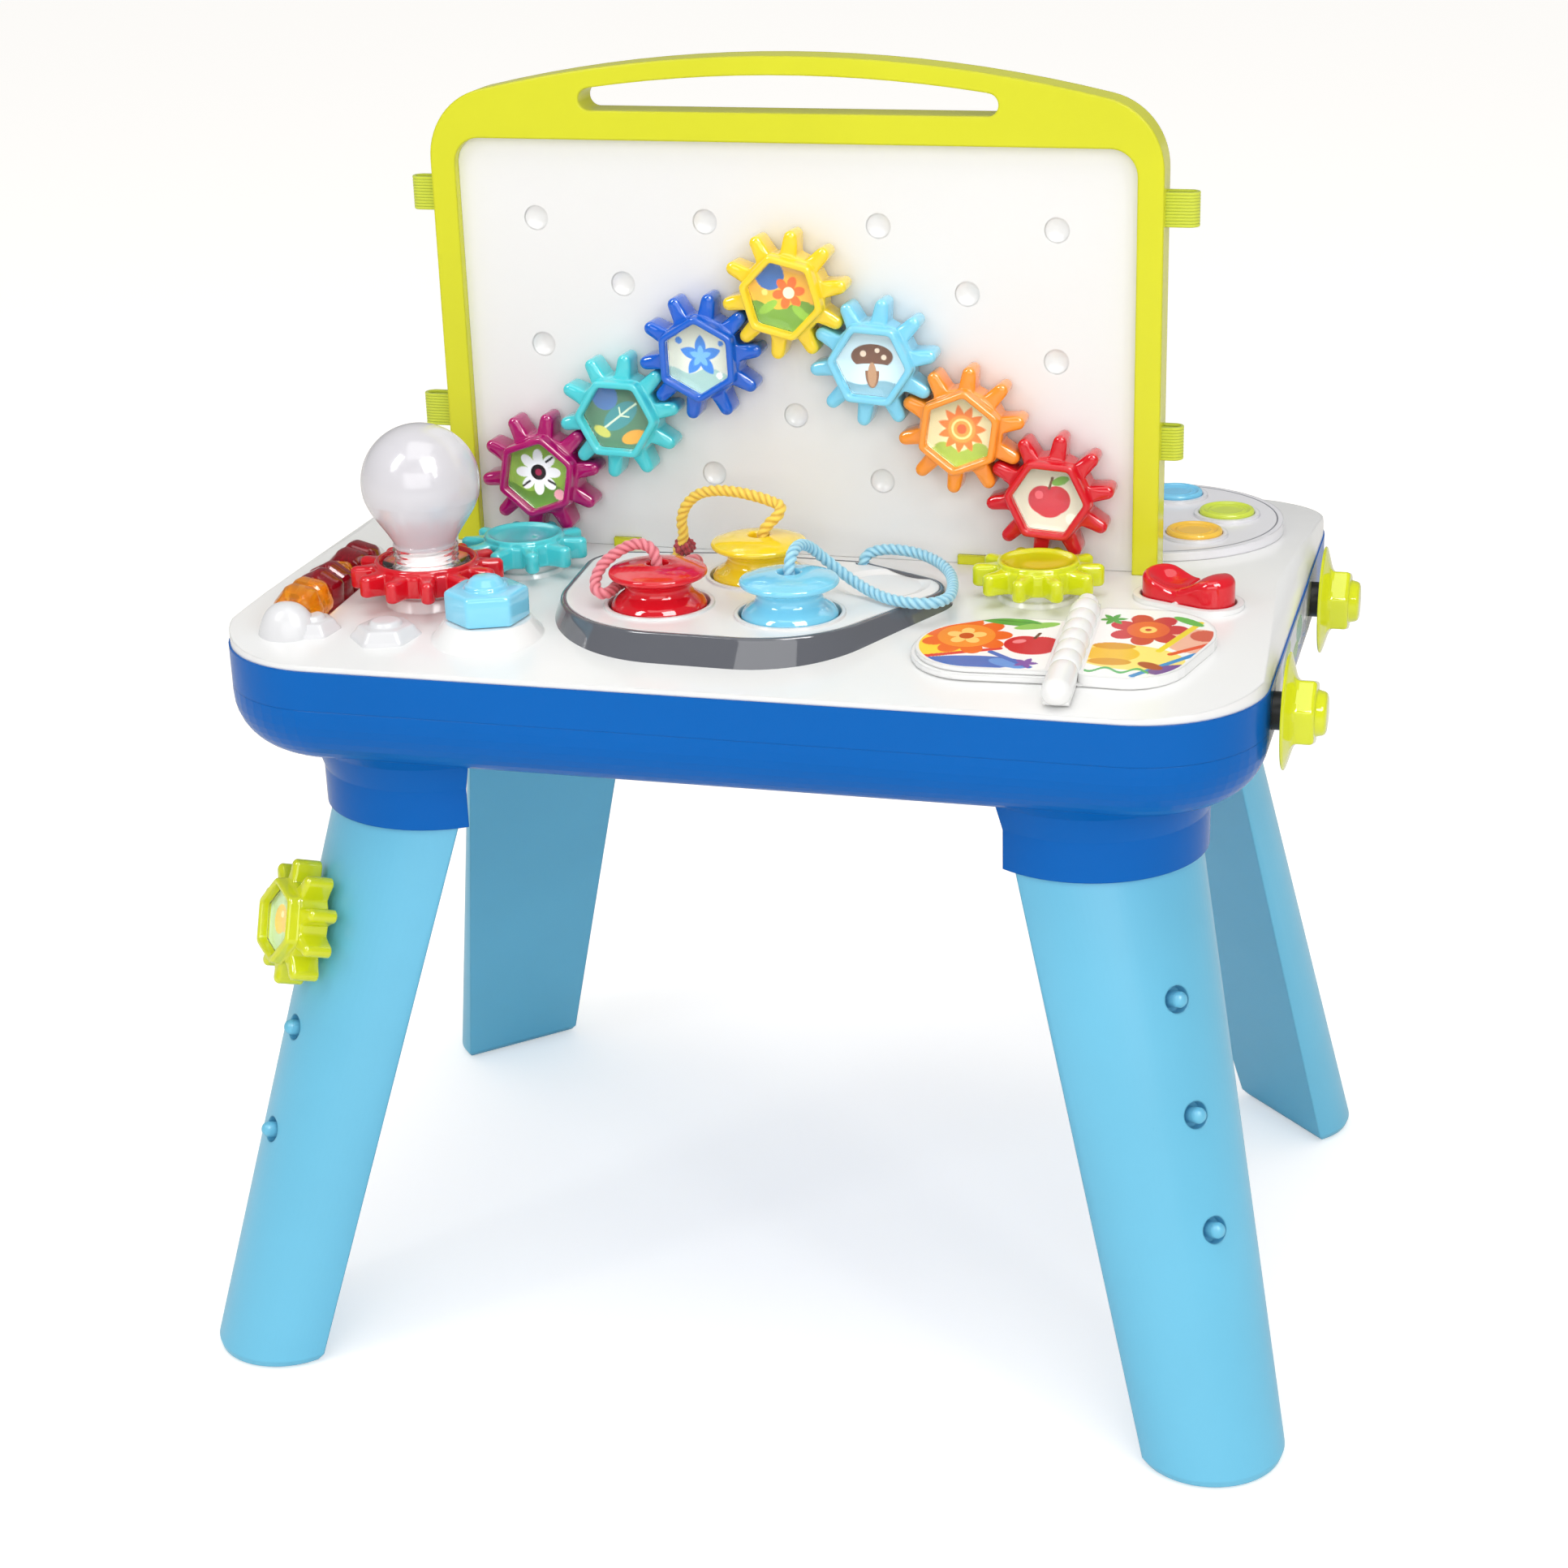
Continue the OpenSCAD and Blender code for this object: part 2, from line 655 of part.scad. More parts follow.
module window_outline(grow) {
    w = window_half + grow;
    r = window_r;
    z = window_top_z + grow;
    translate([-w, 0]) square([2 * w, z - r]);
    translate([-w + r, 0]) square([2 * (w - r), z]);
    for (x = [-1, 1]) translate([x * (w - r), z - r]) circle(r);
}

module slot_outline() {
    z = window_top_z + slot_up;
    e = slot_h * 0.3;
    intersection() {
        union() {
            translate([-slot_half + e, z]) square([2 * (slot_half - e), slot_h]);
            for (x = [-1, 1]) translate([x * (slot_half - e), z + e]) circle(e);
        }
        translate([0, z + slot_h - arch_r]) circle(arch_r, $fn = 720);
    }
}

module board_frame() {
    color(lime) difference() {
        union() {
            difference() {
                upright(-lip_y, back_y) board_outline();
                upright(-lip_y - 1, 0) window_outline(0);
                upright(-tiny, back_y + 1) window_outline(rebate + seat);
                upright(-lip_y - 1, back_y + 1) slot_outline();
            }
            // rail behind the panel, with two tabs that plug into the deck
            translate([-panel_half - 1, panel_t + seat, panel_foot_z])
                cube([2 * panel_half + 2, cup_y - panel_t - 2 * seat, 8]);
            for (x = tab_x) translate([x, -2, rim_z + 2])
                cube([tab_w, back_y - 1.5, panel_foot_z + 2 - rim_z]);
        }
    }
}

module panel_plate(y0) {
    upright(y0, y0 + panel_t) difference() {
        window_outline(rebate);
        translate([-table_w, -tiny]) square([2 * table_w, panel_foot_z]);
    }
}

module peg_panel() {
    color(white) difference() {
        union() {
            panel_plate(0);
            for (p = HOLES) translate([p[0], cup_y, p[1]]) rotate([90, 0, 0])
                cylinder(r = hole_r + cup_t, h = cup_y - panel_t + 1);
        }
        for (p = HOLES) translate([p[0], cup_y + 1, p[1]]) rotate([90, 0, 0])
            cylinder(r = hole_r, h = cup_y + 2);
        for (x = tab_x) translate([x - seat, -3, panel_foot_z - 1])
            cube([tab_w + 2 * seat, panel_t + 4, 5 + seat]);
    }
}

module back_panel() {
    color(white) difference() {
        panel_plate(cup_y);
        for (x = tab_x) translate([x - seat, cup_y - 1, panel_foot_z - 1])
            cube([tab_w + 2 * seat, panel_t + 2, 5 + seat]);
    }
}

// Flat loops of webbing on the frame's sides: side, height, reach
LOOPS = [[-1, 506, 13], [-1, 405, 15], [1, 506, 14], [1, 403, 9]];
module tape_loops() {
    r = 4.6;
    y = back_y - 7;
    color(lime) for (p = LOOPS) translate([p[0] * (board_w / 2 + seat), y, p[1]])
        mirror([p[0] < 0 ? 1 : 0, 0, 0]) linear_extrude(tape_w) difference() {
            union() {
                translate([0, -r]) square([p[2] - r, 2 * r]);
                translate([p[2] - r, 0]) circle(r);
            }
            translate([-1, tape_t - r]) square([p[2] - r + 1, 2 * (r - tape_t)]);
            translate([p[2] - r, 0]) circle(r - tape_t);
        }
}

// ---------- gears ----------

module gear_outline(n, hub, tip, less = 0) {
    a = tooth_root - less;
    b = tooth_tip - less;
    circle(hub - less);
    for (k = [0:n - 1]) rotate(k * 360 / n) {
        polygon([[0, -a], [17, -a], [tip - tooth_tip, -b], [tip - tooth_tip, b], [17, a], [0, a]]);
        translate([tip - tooth_tip, 0]) circle(b, $fn = 32);
    }
}

// A toothed disc whose edges step in by ease
module toothed(n, hub, tip, h) {
    translate([0, 0, 1.2]) linear_extrude(h - 2.4) gear_outline(n, hub, tip);
    linear_extrude(h) gear_outline(n, hub, tip, ease);
}

// A gear with its bezel, back face at z = 0, front towards +Z
module board_gear(phase, turn) {
    difference() {
        union() {
            rotate([0, 0, phase]) toothed(gear_teeth, hub_r, tip_r, gear_t);
            hexagon(bezel_r, gear_front, turn);
        }
        translate([0, 0, card_z]) hexagon(bezel_in_r, 30, turn);
        translate([0, 0, -1]) cylinder(r = axle_r + fit, h = card_z - 1 + 1);
    }
}

module gear_window(turn) {
    color("#e9f6fb") translate([0, 0, card_z + seat])
        hexagon(bezel_in_r - seat, window_t, turn);
}

// Fixed stem of a gear: plugs into a hole of depth, carries the axle in front
module gear_stem(depth, pin = 0, lift = 0) {
    difference() {
        union() {
            translate([0, 0, -depth]) cylinder(r = hole_r - seat, h = depth);
            translate([0, 0, lift]) cylinder(r = 8, h = gear_gap - gap - lift);
            cylinder(r = axle_r, h = gear_gap + card_z - 1 - gap);
        }
        translate([0, 0, -depth - 1]) cylinder(r = peg_d / 2 + seat, h = depth + 1 + pin);
    }
}

module at_leg_gear() {
    corner(-1, -1) at_peg(peg_top_z) children();
}

module deck_gear(n, hub, tip, phase, bore) {
    difference() {
        rotate([0, 0, phase]) toothed(n, hub, tip, deck_gear_t);
        translate([0, 0, deck_gear_t - 3.5]) cylinder(r1 = hub - 4, r2 = hub - 2, h = 3.6);
        translate([0, 0, -1]) cylinder(r = bore, h = deck_gear_t - 3.5);
    }
}

module bulb_gear() {
    color("#d81f2e") translate([bulb_x, bulb_y, deck_gear_z]) difference() {
        deck_gear(bulb_teeth, bulb_hub_r, bulb_tip_r, bulb_phase, column_r + fit);
        translate([0, 0, -1]) cylinder(r = column_r + fit, h = 30);
    }
}

module axles_and_bushes() {
    color("#c8ccd0") {
        for (p = GEARS) at_board(p, 0) gear_stem(cup_y - 0.5);
        at_leg_gear() gear_stem(peg_depth - 0.5, peg_out + seat, 0.5);
        for (s = [-1, 1]) translate([s * deck_gear_x, deck_y, rim_z + 4]) {
            cylinder(r = axle_r, h = deck_gear_z - rim_z - 4 + deck_gear_t - 4.5 - gap);
        }
        // column under the bulb
        translate([bulb_x, bulb_y, 0]) {
            translate([0, 0, rim_z + 4]) cylinder(r = column_r - 2, h = deck_gear_z - rim_z - 4);
            translate([0, 0, deck_gear_z - gap]) cylinder(r = column_r, h = deck_gear_t - 3 + gap);
        }
        translate([knob_x, knob_y, rim_z + 4])
            cylinder(r = axle_r, h = knob_z - rim_z - 4 + knob_h - 3 - gap);
        // side bushes and the axles of the side knobs
        for (y = [-side_front_y, side_rear_y]) translate([wall_x - shell_t - 2, y, side_z])
            rotate([0, 90, 0]) {
                cylinder(r = bush_r - seat, h = shell_t + 2 + bush_l - gap);
                cylinder(r = axle_r, h = shell_t + 2 + bush_l + 8);
            }
    }
}

// ---------- bulb ----------

module bulb() {
    z0 = deck_gear_top - 3;
    color("#f4f6f8") translate([bulb_x, bulb_y, z0 + seat]) rotate_extrude() {
        square([flange_r, 2.2]);
        square([neck_r, globe_up]);
        translate([0, 2.2]) polygon([[0, 0], [neck_r + 1.4, 0], [neck_r + 1.4, 9], [neck_r, 10.5],
            [globe_r * 0.72, globe_up + 1], [0, globe_up + 1]]);
        intersection() {
            translate([0, globe_up]) circle(globe_r);
            translate([0, 1]) square([100, 100]);
        }
    }
}

// ---------- deck toys ----------

module hex_knob() {
    color("#62bdf0") translate([knob_x, knob_y, knob_z]) difference() {
        union() {
            hexagon(knob_hex_r, knob_h, 22.8);
            translate([0, 0, knob_h]) cylinder(r = 9.5, h = 2);
            translate([0, 0, knob_h + 2]) cylinder(r1 = 8, r2 = 5.5, h = 3.5);
        }
        translate([0, 0, -1]) cylinder(r = axle_r + fit, h = knob_h - 3 + 1);
    }
}

module bead_rod() {
    color("#d9dde0") translate([rail_x, rail_y[0] - 6, rail_z]) rotate([-90, 0, 0])
        cylinder(r = rod_r, h = rail_y[4] - rail_y[0] + 11.5);
}

module bead(y0, y1, r) {
    translate([rail_x, y0, rail_z]) rotate([-90, 0, 0]) difference() {
        union() {
            cylinder(r = r, h = (y1 - y0) * 0.45);
            translate([0, 0, (y1 - y0) * 0.45]) cylinder(r = r - 1.4, h = (y1 - y0) * 0.1);
            translate([0, 0, (y1 - y0) * 0.55]) cylinder(r = r, h = (y1 - y0) * 0.45);
        }
        translate([0, 0, -1]) cylinder(r = rod_r + fit, h = y1 - y0 + 2);
    }
}

module bead_orange() { color("#ff8c1e") bead(rail_y[0], rail_y[1] - gap, bead_r); }
module bead_burgundy_front() { color("#8c1022") bead(rail_y[1], rail_y[2] - gap, bead_r); }
module bead_small() { color("#ff8c1e") bead(rail_y[2], rail_y[3] - gap, bead_r - 3); }
module bead_burgundy_rear() { color("#8c1022") bead(rail_y[3], rail_y[4], bead_r); }

// The tray's outline, as five circles grown by grow
module tray_circles(grow, h) {
    for (p = [[-26, -78, 60], [9, -86, 53], [61, -57, 20], [30, -40, 19.5], [-70, -43, 19]])
        translate([p[0], p[1], 0]) cylinder(r = p[2] + grow, h = h, $fn = 72);
}

module tray_rim() {
    color("#5e6067") on_deck() difference() {
        hull() {
            translate([0, 0, rim_z]) tray_circles(rim_slope, 1);
            translate([90, -63, rim_z]) cylinder(r = 4, h = 1, $fn = 32);
            translate([0, 0, tray_z - 1.6]) tray_circles(0, 1);
        }
        hull() translate([0, 0, rim_z - 1]) tray_circles(-rim_edge, 40);
        for (p = ROPE_HOLES) translate([p[0], p[1], rim_z - 1]) cylinder(r = rope_hole_r + 1.8, h = 40);
    }
}

module tray_top() {
    color(white) difference() {
        union() {
            on_deck() hull() translate([0, 0, rim_z + 2])
                tray_circles(-rim_edge - seat, tray_z - rim_z - 2);
            // wells with a low ring and a guide for the stem
            for (p = WELLS) translate([p[0], p[1], well_floor_z]) {
                translate([0, 0, -2]) cylinder(r = well_r + 1.8, h = well_depth + 3);
                translate([0, 0, -10]) cylinder(r = stem_r + 2.5, h = 9);
            }
            for (p = ROPE_HOLES) translate([p[0], p[1], rim_z])
                cylinder(r = rope_hole_r + 1.5, h = tray_z - rim_z - 1);
        }
        for (p = WELLS) translate([p[0], p[1], well_floor_z]) {
            cylinder(r = well_r, h = 60);
            translate([0, 0, -20]) cylinder(r = stem_r + fit, h = 30);
        }
        for (p = ROPE_HOLES) translate([p[0], p[1], rim_z + 2]) cylinder(r = rope_hole_r, h = 60);
        // shallow dimple beside the wells
        translate([52, -52, tray_z - 1.4]) cylinder(r1 = 17, r2 = 23, h = 2);
    }
}

module spool(p) {
    foot = tray_z - 6;
    stem_l = well_depth - 6 + spool_lift + 12;
    color("#d81f2e") translate([p[0], p[1], 0]) difference() {
        union() {
            translate([0, 0, foot]) cylinder(r = spool_foot_r, h = 7);
            translate([0, 0, tray_z + 1]) cylinder(r1 = spool_foot_r, r2 = spool_waist_r, h = 6);
            translate([0, 0, tray_z + 7]) cylinder(r = spool_waist_r, h = 3);
            translate([0, 0, tray_z + 10]) cylinder(r1 = spool_waist_r, r2 = spool_disc_r - 0.8, h = 3.5);
            translate([0, 0, tray_z + 13.5]) cylinder(r = spool_disc_r, h = 2.5);
            translate([0, 0, tray_z + 16]) cylinder(r1 = spool_disc_r - 1, r2 = 9, h = 3);
            translate([0, 0, foot - stem_l]) cylinder(r = stem_r, h = stem_l + 1);
            translate([0, 0, foot - stem_l]) cylinder(r = stem_r + 2, h = 2);
        }
        translate([0, 0, tray_z + 15]) cylinder(r = rope_hole_r + 1.4, h = 20);
    }
}

// A round rope: rings set square to the path that runs through the points
function unit(a) = a / norm(a);
function dir_at(p, i) = unit(p[min(i + 1, len(p) - 1)] - p[max(i - 1, 0)]);
function ring(p, i, r, n, ref) = let (d = dir_at(p, i), u = unit(cross(d, ref)), w = cross(d, u))
    [for (k = [0:n - 1]) p[i] + r * cos(360 * k / n) * u + r * sin(360 * k / n) * w];
module rope(p, ref, n = 8) {
    m = len(p);
    sides = [for (i = [0:m - 2]) for (k = [0:n - 1])
        each [[i * n + k, i * n + (k + 1) % n, (i + 1) * n + (k + 1) % n],
              [i * n + k, (i + 1) * n + (k + 1) % n, (i + 1) * n + k]]];
    first = [for (k = [0:n - 1]) n - 1 - k];
    last = [for (k = [0:n - 1]) (m - 1) * n + k];
    polyhedron(points = [for (i = [0:m - 1]) each ring(p, i, rope_r, n, ref)],
        faces = concat(sides, [first], [last]));
}

module rope_red() { color("#e8606e") rope(ROPE_RED, [0.9, 0.3, -0.1]); }
module rope_yellow() { color("#ffcf2a") rope(ROPE_YELLOW, [0.1, 0.95, 0.2]); }
module rope_blue() { color("#8fd6f2") rope(ROPE_BLUE, [0.8, 0.1, 0.6]); }

// ---------- book ----------

module at_book() {
    translate([book_x, book_y, deck_at(book_y)]) rotate([book_slope, 0, book_turn]) children();
}

// A leaf's outline grown by grow: side -1 is the page, side 1 the fixed leaf
module leaf(side, grow, h) {
    CIRCLES = side < 0
        ? [[-41, -5.5, 25], [-30, 1, 24.5], [-7, -26, 4], [-7, 21, 4]]
        : [[32, 15, 26], [24, -8, 26], [9.5, -29, 4], [9.5, 37, 4]];
    hull() for (c = CIRCLES) translate([c[0], c[1], 0]) cylinder(r = c[2] + grow, h = h, $fn = 32);
}

module book_base() {
    lug = spine_half - 42;
    color(white) at_book() difference() {
        union() {
            translate([0, 0, seat]) leaf(-1, 2, 2.6 - seat);
            translate([0, 0, seat]) leaf(1, 0, 5 - seat);
            translate([-8, -33, seat]) cube([16, 70, 1]);
            // end lugs of the spine, with the pin between them
            for (e = [[-spine_half - 6, spine_half - 24.5], [38.5, lug]]) translate([0, e[0], 0]) {
                translate([-spine_w / 2, 0, seat]) cube([spine_w, e[1], hinge_z - seat]);
                translate([0, 0, hinge_z]) rotate([-90, 0, 0])
                    cylinder(r = spine_w / 2 - 0.8, h = e[1]);
            }
            translate([0, -31, hinge_z]) rotate([-90, 0, 0]) cylinder(r = pin_r, h = 70);
        }
        // room for the page's knuckle
        difference() {
            translate([0, -30 - gap, hinge_z]) rotate([-90, 0, 0])
                cylinder(r = spine_w / 2 - 0.8 + gap, h = 68 + 2 * gap);
            translate([0, -32, hinge_z]) rotate([-90, 0, 0]) cylinder(r = pin_r, h = 74);
        }
    }
}

module book_page() {
    color(white) at_book() difference() {
        union() {
            translate([0, 0, 2.6 + gap]) leaf(-1, 0, page_t);
            translate([0, -30, hinge_z]) rotate([-90, 0, 0]) cylinder(r = spine_w / 2 - 0.8, h = 68);
        }
        translate([0, -40, hinge_z]) rotate([-90, 0, 0]) cylinder(r = pin_r + fit, h = 100);
    }
}

// ---------- palette, rocker, side knobs ----------

module palette_plate() {
    color(white) difference() {
        union() {
            on_deck() {
                translate([palette_x, palette_y, rim_z]) {
                    for (x = [-4, 4]) translate([x, 0, 0]) cylinder(r = palette_r, h = palette_z - rim_z, $fn = 96);
                    translate([-4, -palette_r, 0]) cube([8, 2 * palette_r, palette_z - rim_z]);
                }
                for (p = BUTTONS) translate([p[0], p[1], rim_z])
                    cylinder(r = button_r + 2.5, h = palette_z - rim_z + 1.4);
            }
            for (p = BUTTONS) translate([p[0], p[1], palette_z - button_floor - 2])
                cylinder(r = button_r + 2.3, h = button_floor + 2);
        }
        for (p = BUTTONS) translate([p[0], p[1], palette_z - button_floor])
            cylinder(r = button_r + gap, h = 40);
    }
}

module button(p) {
    translate([p[0], p[1], palette_z + 3]) difference() {
        translate([0, 0, -button_floor + button_stroke + gap - 3])
            cylinder(r = button_r, h = button_floor - button_stroke - gap + 3);
        translate([0, 0, -1.2]) cylinder(r1 = button_r - 4, r2 = button_r - 1.2, h = 1.3);
    }
}

module rocker() {
    color("#e01b2d") translate([rocker_x, rocker_y, rocker_z]) rotate([0, 0, rocker_turn])
        difference() {
            intersection() {
                union() {
                    for (s = [-1, 1]) translate([s * rocker_half, 0, -8]) {
                        cylinder(r = rocker_r, h = 8);
                        translate([0, 0, -3]) sphere(r = 15.5);
                    }
                    translate([-rocker_half, -rocker_r + 1.5, -8])
                        cube([2 * rocker_half, 2 * rocker_r - 3, 7.5]);
                }
                translate([0, 0, -6]) capsule(0, 0, 0, rocker_half, rocker_r, 20);
            }
            translate([0, -30, -4]) rotate([-90, 0, 0]) cylinder(r = 1.6, h = 60);
        }
}

module side_knob(y) {
    x0 = wall_x + bush_l;
    l = side_knob_l;
    color(lime) translate([x0, y, side_z]) rotate([0, 90, 0]) difference() {
        union() {
            cylinder(r1 = side_dish_r, r2 = side_dish_r - 4, h = 2.2);
            cylinder(r = 13, h = 4);
            hexagon(15.5, l - 4.6, 12);
            translate([0, 0, l - 4.7]) cylinder(r1 = 10, r2 = 8.5, h = 4.7);
        }
        translate([0, 0, -1]) cylinder(r = axle_r + fit, h = 10 + gap);
    }
}

// ---------- inside ----------

module battery_door() {
    color(blue) translate([-35 + seat, 11 + seat, tub_z]) cube([70 - 2 * seat, 68 - 2 * seat, 2.3]);
}

module batteries() {
    color("#3a3d42") for (k = [0:2]) translate([-25.2, 25 + 20 * k, tub_z + 2.4 + 7.2])
        rotate([0, 90, 0]) {
            cylinder(r = 7.2, h = 49);
            cylinder(r = 2.7, h = 50.4);
        }
}

module circuit_board() {
    color("#1f7a3e") translate([40, 79, floor_z]) {
        cube([56, 34, 1.6]);
        translate([6, 6, 1.6]) cube([14, 14, 2.5]);
        translate([30, 18, 1.6]) cube([10, 8, 3]);
    }
}

module speaker() {
    color("#2b2d30") translate([-70, 20, floor_z]) {
        cylinder(r = 22, h = 5);
        translate([0, 0, 5]) cylinder(r1 = 16, r2 = 11, h = 6);
        translate([0, 0, 11]) cylinder(r = 11, h = 5);
    }
}

module housing_screws() {
    color("#b9bdc2") for (p = SCREWS) translate([p[0], p[1], tub_z + 1]) {
        cylinder(r = 3.2, h = 2);
        cylinder(r = 1.5, h = 14);
    }
}

top_deck();
rim_band();
base_tub();
leg(-1, -1);  // leg_front_left
leg(1, -1);  // leg_front_right
leg(-1, 1);  // leg_back_left
leg(1, 1);  // leg_back_right
board_frame();
peg_panel();
back_panel();
tape_loops();
tray_rim();
tray_top();
book_base();
palette_plate();
bulb();
battery_door();
batteries();
circuit_board();
speaker();
housing_screws();
axles_and_bushes();
bead_rod();
color("#ffdc26") at_board(P_YELLOW) board_gear(P_YELLOW[2], P_YELLOW[3]);  // gear_yellow
color("#0b62c6") at_board(P_DARK_BLUE) board_gear(P_DARK_BLUE[2], P_DARK_BLUE[3]);  // gear_dark_blue
color("#6ccbef") at_board(P_LIGHT_BLUE) board_gear(P_LIGHT_BLUE[2], P_LIGHT_BLUE[3]);  // gear_light_blue
color("#35bfc4") at_board(P_TEAL) board_gear(P_TEAL[2], P_TEAL[3]);  // gear_teal
color("#ff9a2e") at_board(P_ORANGE) board_gear(P_ORANGE[2], P_ORANGE[3]);  // gear_orange
color("#b5006e") at_board(P_MAGENTA) board_gear(P_MAGENTA[2], P_MAGENTA[3]);  // gear_magenta
color("#d81f2e") at_board(P_RED) board_gear(P_RED[2], P_RED[3]);  // gear_red
color(lime) at_leg_gear() translate([0, 0, gear_gap]) board_gear(8, 20);  // leg_gear
at_board(P_YELLOW) gear_window(P_YELLOW[3]);  // window_yellow
at_board(P_DARK_BLUE) gear_window(P_DARK_BLUE[3]);  // window_dark_blue
at_board(P_LIGHT_BLUE) gear_window(P_LIGHT_BLUE[3]);  // window_light_blue
at_board(P_TEAL) gear_window(P_TEAL[3]);  // window_teal
at_board(P_ORANGE) gear_window(P_ORANGE[3]);  // window_orange
at_board(P_MAGENTA) gear_window(P_MAGENTA[3]);  // window_magenta
at_board(P_RED) gear_window(P_RED[3]);  // window_red
at_leg_gear() translate([0, 0, gear_gap]) gear_window(20);  // window_leg
color("#35bfc4") translate([-deck_gear_x, deck_y, deck_gear_z]) deck_gear(gear_teeth, hub_r, tip_r, deck_phase, axle_r + fit);  // deck_gear_teal
color(lime) translate([deck_gear_x, deck_y, deck_gear_z]) deck_gear(gear_teeth, hub_r, tip_r, deck_phase, axle_r + fit);  // deck_gear_lime
bulb_gear();
hex_knob();
bead_orange();
bead_burgundy_front();
bead_small();
bead_burgundy_rear();
spool(WELLS[0]);  // spool_red
spool(WELLS[1]);  // spool_yellow
spool(WELLS[2]);  // spool_blue
rope_red();
rope_yellow();
rope_blue();
book_page();
rocker();
color("#6ccbef") button(BUTTONS[0]);  // button_blue
color(lime) button(BUTTONS[1]);  // button_lime
color("#ffc21e") button(BUTTONS[2]);  // button_yellow
side_knob(-side_front_y);  // side_knob_front
side_knob(side_rear_y);  // side_knob_rear
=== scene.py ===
import bpy
import math
import numpy as np
from mathutils import Matrix


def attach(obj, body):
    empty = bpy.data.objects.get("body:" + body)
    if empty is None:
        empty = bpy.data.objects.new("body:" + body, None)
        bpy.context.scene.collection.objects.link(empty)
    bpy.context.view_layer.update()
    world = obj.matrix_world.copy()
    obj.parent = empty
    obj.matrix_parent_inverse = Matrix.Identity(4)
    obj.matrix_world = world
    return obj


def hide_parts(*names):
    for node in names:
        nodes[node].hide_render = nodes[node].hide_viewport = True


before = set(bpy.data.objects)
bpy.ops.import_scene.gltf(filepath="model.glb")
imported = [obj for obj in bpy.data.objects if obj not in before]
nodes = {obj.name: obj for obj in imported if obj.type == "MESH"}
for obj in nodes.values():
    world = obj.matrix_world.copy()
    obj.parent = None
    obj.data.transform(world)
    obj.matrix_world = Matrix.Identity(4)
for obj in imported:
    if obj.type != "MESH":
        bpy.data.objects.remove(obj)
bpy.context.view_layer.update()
scene = bpy.context.scene
print("frame loaded,", len(nodes), "solids")

# the table's own measures in millimetres, as the solids have them
table = dict(deckZ=351.0, crownR=1427.8, deckY=-41.0, gearX=119.82, halfW=230.4, rowZ=387.8,
             holeDx=39.94, holeDz=28.95, trayZ=356.0, sideZ=325.0)


def deckAt(y):
    # height of the crowned deck: a wide cylinder along X
    return table["deckZ"] - table["crownR"] + np.sqrt(table["crownR"] ** 2 - np.square(y))


view = dict(azimuth=14.84, elevation=21.57, roll=-1.36, place=(344.48, -1233.41, 735.32),
            focal=3542.26, side=1932.0, middle=(1038.54, 983.34))


def addCamera():
    a, e, r = (math.radians(view[k]) for k in ("azimuth", "elevation", "roll"))
    back = np.array([math.sin(a) * math.cos(e), -math.cos(a) * math.cos(e), math.sin(e)])
    right = np.array([math.cos(a), math.sin(a), 0])
    up = np.cross(back, right)
    turned = [right * math.cos(r) + up * math.sin(r), up * math.cos(r) - right * math.sin(r), back]
    pose = np.eye(4)
    pose[:3, :3] = np.array(turned).T
    pose[:3, 3] = np.array(view["place"]) * 0.001
    data = bpy.data.cameras.new("mainCamera")
    data.sensor_width = 36
    data.lens = view["focal"] / view["side"] * 36
    data.shift_x = (view["side"] / 2 - view["middle"][0]) / view["side"]
    data.shift_y = (view["middle"][1] - view["side"] / 2) / view["side"]
    data.clip_start, data.clip_end = 0.05, 60
    camera = bpy.data.objects.new("mainCamera", data)
    camera.matrix_world = Matrix(pose.tolist())
    scene.collection.objects.link(camera)
    scene.camera = camera


addCamera()
print("camera set")


def finishMesh(name, points, faces, body, material, sharp=40):
    # millimetre points and index lists become one piece that rides on a body
    mesh = bpy.data.meshes.new(name)
    mesh.from_pydata((np.asarray(points) * 0.001).tolist(), [], faces)
    mesh.polygons.foreach_set("use_smooth", np.ones(len(mesh.polygons), bool))
    mesh.set_sharp_from_angle(angle=math.radians(sharp))
    mesh.update()
    piece = bpy.data.objects.new(name, mesh)
    scene.collection.objects.link(piece)
    mesh.materials.append(material)
    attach(piece, body)
    return piece


def ringQuads(rings, n, total):
    # quads from each ring to the next one, counted round past the last of the total
    i, k = (np.arange(rings) * n)[:, None], np.arange(n)[None]
    j = (i + n) % (total * n)
    return np.stack([i + k, i + (k + 1) % n, j + (k + 1) % n, j + k], -1).reshape(-1, 4)


def turnsIn(points, quads, fans):
    # the sign of the volume tells whether the faces look inwards
    tris = np.concatenate([quads[:, :3], quads[:, [0, 2, 3]], fans])
    a, b, c = (points[tris[:, j]] - points.mean(0) for j in range(3))
    return np.einsum("ij,ij->i", a, np.cross(b, c)).sum() < 0


def loopMesh(name, loops, body, material, sharp=40):
    # closed rings joined one after another, with a fan to a pole at each end
    loops = np.asarray(loops, float)
    m, n, _ = loops.shape
    points = np.concatenate([loops.reshape(-1, 3), [loops[0].mean(0), loops[-1].mean(0)]])
    k, low, pole = np.arange(n), (m - 1) * n, np.full(n, m * n)
    after = (k + 1) % n
    quads = ringQuads(m - 1, n, m)
    fans = np.concatenate([np.stack([pole, after, k], -1),
                           np.stack([pole + 1, low + k, low + after], -1)])
    if turnsIn(points, quads, fans):
        quads, fans = quads[:, ::-1], fans[:, ::-1]
    return finishMesh(name, points, quads.tolist() + fans.tolist(), body, material, sharp)


